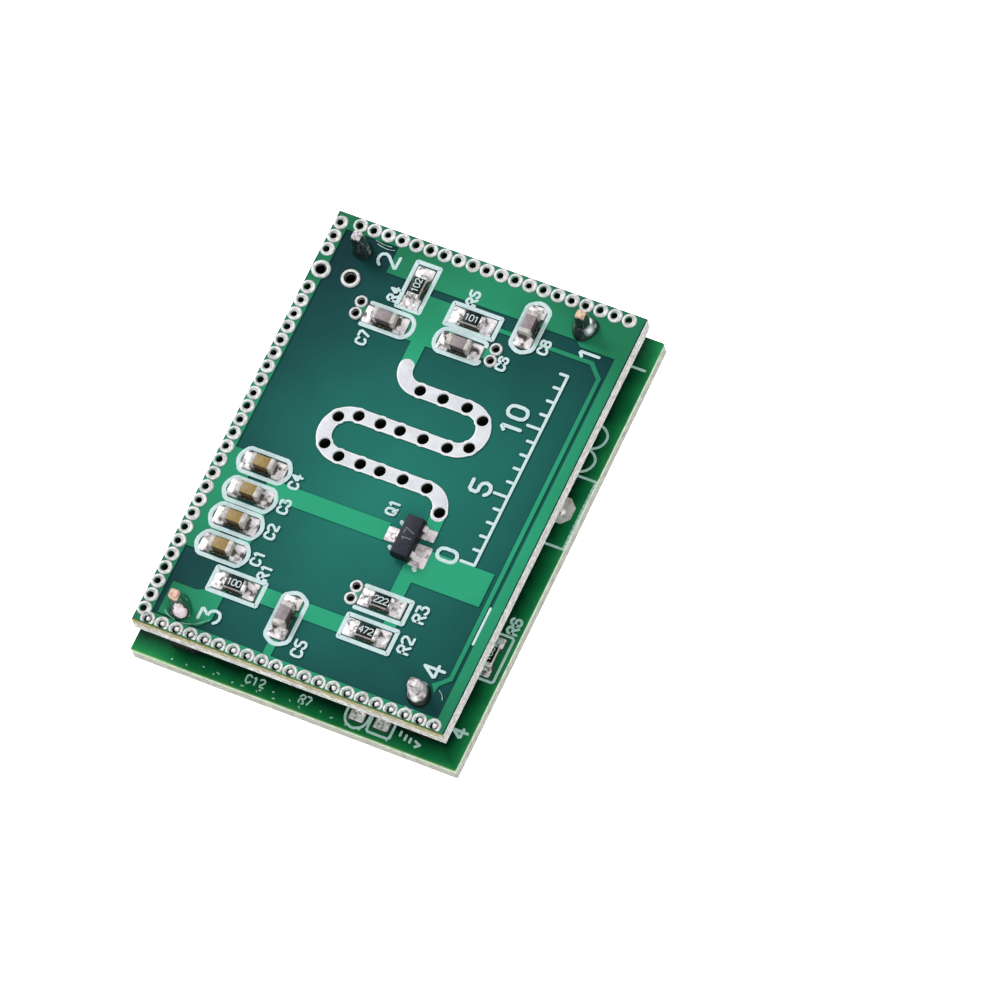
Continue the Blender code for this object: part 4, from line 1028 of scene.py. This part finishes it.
def make_chip_solder(name, nodes, span, pad, seed, material):
    """Solder on both pads of each chip, and the dark openings of the mask round them."""
    rng = random.Random(seed)
    solder, openings = Shape(), Shape()
    for chip in map(Chip, nodes):
        floor = chip.base - 0.02
        for side in (-1, 1):
            climb = chip.height * rng.uniform(0.35, 0.6)
            pad_patch(solder, chip.place, chip.along * side, chip.length / 2 - 0.1, span / 2, pad[1],
                      floor, climb, rng)
            chip.box(openings, side * (span - pad[0]) / 2, floor - 0.03,
                     (pad[0] + 2 * OPENING, pad[1] + 2 * OPENING, 0.075), 0.02)
    add_piece(name + "_solder", solder, material, "solder", 60)
    add_piece(name + "_openings", openings, BARE_LAMINATE, "antenna_laminate")


def make_flux(nodes):
    """Dark flux left under and beside the chips, which also stands as painted shadow under and beside
    them.
    """
    rng = random.Random(11)
    flux = Shape()
    for chip in map(Chip, nodes):
        for _ in range(4):
            # Blobs on one side of each chip: flux and painted shadow.
            shift, lean = rng.uniform(-0.45, 0.45), 0.42 + rng.uniform(-0.06, 0.08)
            place = chip.place + Vector((shift, lean) if chip.level else (lean, shift))
            blob(flux, *place, rng.uniform(0.10, 0.17), TOP, chip.base - TOP + 0.05, rng, 14)
        chip.box(flux, 0, (TOP + chip.base) / 2,
                 (chip.length - 0.3, chip.width + 0.25, chip.base - TOP - 0.005), 0.02)
    add_piece("flux_and_painted_shadow", flux, FLUX_AND_SHADOW, "antenna_laminate", 60)


RESISTOR_MARKS = {"resistor_1": "100", "resistor_2": "472", "resistor_3": "222",
                  "resistor_4": "102", "resistor_5": "101", "resistor_6": "103",
                  "resistor_7": "104", "resistor_8": "222", "resistor_9": "103"}
MARK_HEIGHT = 0.42
MARK_STEP = 0.78


def make_resistor_tops():
    """The black glaze on each resistor and the plain number on it."""
    glaze = Shape()
    paths_by_height = {}
    for node, text in RESISTOR_MARKS.items():
        chip = Chip(node)
        size = (chip.length - 2 * CHIP_CAP + 0.16, chip.width - 0.02, 0.05)
        chip.box(glaze, 0, chip.top - 0.005, size, 0.02)
        reach = ((len(text) - 1) * MARK_STEP + LETTER_WIDTH) * MARK_HEIGHT
        shift = (-reach, MARK_HEIGHT) if chip.level else (MARK_HEIGHT, reach)
        start = chip.place + Vector(shift) / 2
        paths_by_height.setdefault(round(chip.top + 0.02, 3), []).extend(
            text_paths(text, *start, MARK_HEIGHT, chip.level, MARK_STEP))
    add_piece("resistor_glaze", glaze, GLAZE, "resistor_body")
    for index, (level, paths) in enumerate(sorted(paths_by_height.items())):
        ink("resistor_numbers_%d" % index, paths, level, RESISTOR_INK, 0.006, cut=0.03,
            slot="resistor_body")


# The transistor: its body's size, each lead's side and shift, and each pad's side, reaches and edges
BODY_WIDTH, BODY_LENGTH = 1.3, 2.9
LEADS = ((-1, 0.0), (1, -0.95), (1, 0.95))
LEAD_HALF, LEAD_THICK = 0.2, 0.055
LEAD_PADS = ((-1, 0.75, 1.65, -0.55, 0.45), (1, 0.45, 1.42, -1.25, -0.45), (1, 0.45, 1.6, -0.10, 1.45))


def make_transistor():
    """The three-lead package: a drafted moulding with soft edges and bent leads."""
    low, high = box_mm("transistor")
    u, v = place_of("transistor")
    base, top = low.z + 0.08, high.z
    middle = (base + top) / 2
    rows = []
    for inset, z, corner in ((0.10, base, 0.05), (0.05, base + 0.04, 0.07), (0.0, middle, 0.08),
                             (0.07, top - 0.07, 0.08), (0.10, top - 0.02, 0.08), (0.15, top, 0.08)):
        half_u, half_v = BODY_WIDTH / 2 - inset - corner, BODY_LENGTH / 2 - inset - corner
        rows.append([at(*on_arc((u + side_u * half_u, v + side_v * half_v), corner, start + turn), z)
                     for side_u, side_v, start in ((1, 1, 0), (-1, 1, 90), (-1, -1, 180), (1, -1, 270))
                     for turn in range(0, 91, 30)])
    body = add_piece("transistor_body", Shape().tube(rows), MOULD, "moulded_package", 30)
    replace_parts(body, "transistor")
    leads = Shape()
    profile = [(0.5, middle), (0.72, middle), (0.80, middle - 0.05), (0.85, low.z + 0.2),
               (0.90, low.z + 0.12), (0.98, low.z + 0.07), (1.2, low.z + 0.06)]
    for side, shift in LEADS:
        rows = []
        for index, (reach, z) in enumerate(profile):
            before = profile[max(index - 1, 0)]
            after = profile[min(index + 1, len(profile) - 1)]
            slope = Vector((after[0] - before[0], after[1] - before[1])).normalized() * LEAD_THICK
            rows.append([at(u + side * (reach - slope.y * thick), v + shift + across, z + slope.x * thick)
                         for across, thick in ((-LEAD_HALF, -1), (LEAD_HALF, -1), (LEAD_HALF + 0.01, 0),
                                               (LEAD_HALF, 1), (-LEAD_HALF, 1), (-LEAD_HALF - 0.01, 0))])
        leads.tube(rows)
    add_piece("transistor_leads", leads, LEAD_TIN, "solder", 40)
    pads = Shape()
    rng = random.Random(3)
    for side, inner, outer, v0, v1 in LEAD_PADS:
        pad_patch(pads, Vector((u, v + (v0 + v1) / 2)), Vector((side, 0)), inner, outer, v1 - v0,
                  COPPER, 0.03, rng)
    add_piece("transistor_solder", pads, LEAD_TIN, "solder", 60)
    mark = text_paths("17", u + 0.35, v + 0.42, 0.62, step=0.8)
    ink("transistor_mark", mark, top + 0.001, MARK_INK, 0.004, GREY_INK, 0.03, "moulded_package")


SOLDER_STEPS = 40
CONE_WAVER = 0.08
# A solder cone's loops: share of the foot's radius and of the height
CONE_PROFILE = ((0.90, 0.0), (0.99, 0.02), (1.0, 0.07), (0.94, 0.16), (0.86, 0.3), (0.78, 0.46),
                (0.70, 0.62), (0.60, 0.78), (0.50, 0.9), (0.40, 0.97), (0.2, 1.0))


def cone_rows(u, v, foot, shift, low, height, rng):
    """Loops of a solder cone whose foot is off centre and whose outline wavers."""
    waves = draw_waves(rng, 0.3 * CONE_WAVER, CONE_WAVER, (2, 3))
    return [wavy_loop(u + shift[0] * (1 - rise), v + shift[1] * (1 - rise),
                      [(angle, foot * share * (1 + wave(waves, angle, rise)), low + height * rise)
                       for angle in angles(SOLDER_STEPS)]) for share, rise in CONE_PROFILE]


SLEEVE_HALF = 0.325
SLEEVE_CORNER = 0.44
SLEEVE_FOOT = 0.52


def sleeve_rows(u, v, low, high, rng):
    """Loops of the skin of solder that climbs a square pin above its cone, to a ragged top."""
    waves = draw_waves(rng, 0.02, 0.05)
    rows = []
    for share in (0.0, 0.15, 0.35, 0.6, 0.85, 0.97, 1.0):
        taper = 0.03 if share == 1.0 else 0.0
        points = []
        for angle in angles(SOLDER_STEPS):
            square = SLEEVE_HALF / max(abs(math.cos(angle)), abs(math.sin(angle)))
            square = min(square, SLEEVE_CORNER)
            reach = square + (SLEEVE_FOOT - square) * (1 - share) ** 2 - taper
            points.append((angle, reach, low + (high - low + wave(waves, angle)) * share))
        rows.append(wavy_loop(u, v, points))
    return rows


INKY, REFLECTED_BOARD_GREEN = (14, 22, 20), (16, 58, 44)
REFLECTED_STEEL, HIGHLIGHT_WHITE, ROSE, CHALK = (176, 186, 190), (250, 252, 252), (222, 206, 214), (234, 226, 229)
# For each pin: radius and shift of the solder's foot, how far below the tip it ends, roughness, two
# tones, and its spots: direction in degrees, height, reach, radius, edge and colour. The spots are mostly
# painted highlights and reflections, ROSE being pin 3's painted reflection on its facet, some with a dark
# edge round them, and pin 4 has a dark ring at its foot. Pin 3's two green tones are a painted reflection
# of the board; pins 1 and 2 are dark with flux.
PIN_SOLDER = {
    1: (0.89, (-0.02, -0.05), 0.13, 0.16, (40, 52, 50), INKY, [
        (150, 0.75, 0.50, 0.10, 0.08, REFLECTED_STEEL), (18, 0.72, 0.50, 0.36, 0.14, REFLECTED_STEEL),
        (24, 0.70, 0.52, 0.20, 0.08, HIGHLIGHT_WHITE), (-38, 1.05, 0.42, 0.20, 0.07, HIGHLIGHT_WHITE),
        (-24, 0.55, 0.72, 0.12, 0.06, REFLECTED_STEEL)]),
    2: (0.70, (0.0, -0.06), 0.16, 0.16, (34, 56, 48), INKY, [
        (-10, 0.75, 0.46, 0.16, 0.12, (110, 128, 124)),
        (0, 0.40, 0.62, 0.10, 0.08, (120, 136, 132)),
        (150, 0.70, 0.46, 0.14, 0.12, (70, 92, 84))]),
    3: (0.84, (0.0, 0.0), 0.42, 0.16, (42, 110, 82), REFLECTED_BOARD_GREEN, [
        (55, 0.62, 0.58, 0.54, 0.03, INKY), (55, 1.10, 0.46, 0.40, 0.03, INKY),
        (55, 1.50, 0.42, 0.30, 0.03, INKY), (20, 0.05, 0.82, 0.14, 0.05, HIGHLIGHT_WHITE),
        (55, 0.64, 0.58, 0.45, 0.03, ROSE), (55, 1.06, 0.46, 0.31, 0.03, ROSE),
        (55, 1.40, 0.42, 0.20, 0.03, ROSE), (-60, 0.6, 0.58, 0.10, 0.08, REFLECTED_STEEL)]),
    4: (0.82, (0.13, 0.02), 0.04, 0.36, CHALK, (82, 80, 80), [
        *[(degrees, 0.1, 0.86, radius, 0.09, INKY) for degrees, radius in zip(
            range(-40, 171, 30), (0.36, 0.44, 0.48, 0.48, 0.44, 0.40, 0.36, 0.30))],
        (45, 1.0, 0.46, 0.16, 0.10, (120, 112, 112)), (75, 0.62, 0.6, 0.2, 0.10, HIGHLIGHT_WHITE)]),
}
# Where the skin starts, as a share of the cone's height
SKIN_START = 0.72


def make_pin_solder():
    """Lopsided solder round each pin, dark with flux and with painted highlights and reflections in
    spots, that climbs the pin.
    """
    for number, (foot, shift, left_bare, roughness, light, dark, spots) in PIN_SOLDER.items():
        node = "solder_%d" % number
        low, high = box_mm(node)
        place = place_of(node)
        tip = box_mm("pin_%d" % number)[1].z
        rng = random.Random(20 + number)
        height = high.z - low.z
        cone = Shape().tube(cone_rows(*place, foot, shift, low.z, height, rng))
        skin = Shape().tube(sleeve_rows(*place, low.z + height * SKIN_START, tip - left_bare, rng))
        name = "pin_solder_%d" % number
        finish = spotted_finish(name, light, dark, place, spots, roughness)
        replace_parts(add_piece(name, cone, finish, "solder", 70), node)
        add_piece("pin_skin_%d" % number, skin, finish, "solder", 70)


FLUX_GLINT_ARCS = [
    [(3.15, 1.12), (3.5, 1.2), (3.9, 1.25), (4.3, 1.22)],
    [(3.35, 1.33), (3.7, 1.42), (4.15, 1.47), (4.6, 1.38)],
    [(1.75, 29.35), (2.1, 29.58), (2.6, 29.7)],
    [(3.1, 29.74), (3.6, 29.68), (4.1, 29.45), (4.7, 28.95)],
    [(18.75, 29.72), (19.0, 29.8), (19.35, 29.82)],
    [(18.32, 28.35), (18.36, 28.12), (18.5, 27.95), (18.7, 27.85)],
    [(20.3, 28.0), (20.6, 28.2), (20.75, 28.5)],
]


def make_flux_arcs():
    """Thin painted glints on the rim of dried flux round the solder."""
    ink("flux_glints", FLUX_GLINT_ARCS, COPPER - 0.01, GLINT_INK, 0.02, GLINT, slot="antenna_laminate")


# Print on the control board, the connector's dashed edge, and the row of buried holes
CONTROL_PRINT = [
    [(20.9, 1.85), (21.9, 1.85)], [(20.4, 10.05), (22.22, 10.05)], [(20.4, 15.05), (22.22, 15.05)],
    [(20.5, 6.3), (21.15, 6.4), (21.55, 6.75), (21.65, 7.15), (21.5, 7.65), (21.1, 8.0), (20.7, 8.1)],
    [(20.7, 8.1), (21.2, 8.25), (21.55, 8.6), (21.6, 9.0), (21.4, 9.45), (21.0, 9.75), (20.5, 9.85)],
    oblong(20.1, 21.75, 21.95, 25.0),
    [(14.15, 28.0), (14.15, 30.3), (14.35, 30.75), (14.92, 31.0), (15.5, 30.75), (15.7, 30.3),
     (15.7, 28.0)],
    [(15.85, 28.0), (15.85, 30.85), (17.45, 30.85), (17.45, 28.0)],
    [(18.0, 30.1), (18.0, 30.35)], [(18.4, 30.2), (18.4, 30.5)], [(18.75, 30.3), (18.75, 30.55)],
    [(19.1, 30.35), (19.45, 30.5)], [(19.45, 30.5), (19.2, 30.7)],
    *text_paths("R6", 21.95, 21.5, 0.7),
]
CONTROL_LABELS = [("C12", 7.22, 30.62, 0.54, True), ("R7", 11.0, 30.62, 0.54, True)]
DASHES = evenly((22.22, 10.2), (0, 0.38), 13)
DASH = 0.22
SPECK_PLACES = evenly((2.2, 30.82), (1.02, 0), 16)
SPECK_SPREAD = 0.22


def make_control_details():
    """Print and specks on the side of the control board that faces the antenna board."""
    for name, paths, width in (
            ("control_print", CONTROL_PRINT, LABEL_INK),
            ("control_labels", labels(CONTROL_LABELS), SMALL_INK),
            ("connector_edge", [[(u, v), (u, v + DASH)] for u, v in DASHES], EDGE_INK),
            ("pin_label_4", text_paths("4", 21.93, 29.16, 1.0), PIN_INK)):
        ink(name, paths, CONTROL_TOP, width, material=PALE_INK)
    rng = random.Random(31)
    specks = []
    for place in SPECK_PLACES:
        for _ in range(rng.choice((1, 2, 2, 3))):
            u, v = [value + rng.uniform(-SPECK_SPREAD, SPECK_SPREAD) for value in place]
            specks.append([(u, v), (u + rng.uniform(0.02, 0.12), v + rng.uniform(-0.05, 0.05))])
    ink("via_specks", specks, CONTROL_TOP, SPECK_INK, 0.012, SPECK, slot="tinned_copper")


def make_camera():
    camera = bpy.data.cameras.new("camera")
    camera.sensor_width = SENSOR
    camera.lens = LENS
    camera.clip_start = 0.01
    camera.clip_end = 10.0
    made = link("camera", camera)
    elevation, bearing = math.radians(VIEW_ELEVATION), math.radians(VIEW_BEARING)
    away = Vector((math.cos(elevation) * math.cos(bearing), math.cos(elevation) * math.sin(bearing),
                   math.sin(elevation)))
    target = mm(Vector(VIEW_TARGET))
    aim = away.to_track_quat("Z", "Y").to_matrix().to_4x4()
    roll = Matrix.Rotation(math.radians(-VIEW_ROLL), 4, "Z")
    made.matrix_world = Matrix.Translation(target + away * mm(VIEW_DISTANCE)) @ aim @ roll
    bpy.context.scene.camera = made


def make_floor():
    """A plain pale floor at the lowest point of the module."""
    low = CAD_BOX[0][2]
    shape = bmesh.new()
    bmesh.ops.create_grid(shape, x_segments=8, y_segments=8, size=1.5,
                          matrix=Matrix.Translation((0, 0, low - 0.0001)))
    mesh = bpy.data.meshes.new("floor")
    shape.to_mesh(mesh)
    shape.free()
    pale = Finish("floor", roughness=0.9, Emission_Color=(255, 255, 255), Emission_Strength=1.0)
    pale.set("Base Color", pale.mix(pale.noise(60.0, 2.0), (250, 250, 250), (254, 254, 254)))
    mesh.materials.append(pale.material)
    link("floor", mesh)


def add_light(name, place, size, power):
    light = bpy.data.lights.new(name, "AREA")
    light.shape = "DISK"
    light.size = size
    light.energy = power
    made = link(name, light)
    made.location = place
    made.rotation_euler = Vector(place).to_track_quat("Z", "Y").to_euler()


def make_lights():
    world = bpy.data.worlds.new("studio")
    bpy.context.scene.world = world
    world.use_nodes = True
    background = world.node_tree.nodes["Background"]
    background.inputs["Color"].default_value = (1.0, 1.0, 1.0, 1.0)
    background.inputs["Strength"].default_value = 0.50
    add_light("key", (-0.46, 0.21, 0.48), 0.30, 2.9)
    add_light("fill", (0.36, -0.34, 0.36), 0.40, 1.35)
    bpy.context.scene.view_settings.view_transform = "Standard"


def main():
    make_camera()
    paint_frame()
    make_rings()
    make_track()
    make_silkscreen()
    make_scale()
    top_chips = numbered("capacitor", 1, 8) + numbered("resistor", 1, 5)
    low_chips = numbered("capacitor", 9, 12) + numbered("resistor", 6, 9)
    make_chip_bodies(top_chips + low_chips)
    make_chip_ends("capacitor_ends", numbered("capacitor", 1, 8), CAP_TIN)
    make_chip_ends("resistor_ends", numbered("resistor", 1, 5), TIN)
    make_chip_ends("control_chip_ends", low_chips, TIN)
    make_chip_solder("chip", top_chips, PAD_SPAN, PAD, 7, FILLET_TIN)
    make_chip_solder("control_chip", low_chips, CONTROL_SPAN, CONTROL_PAD, 8, TIN)
    make_flux(top_chips)
    make_resistor_tops()
    make_transistor()
    make_pin_solder()
    make_flux_arcs()
    make_control_details()
    make_floor()
    make_lights()


main()
bpy.context.view_layer.update()
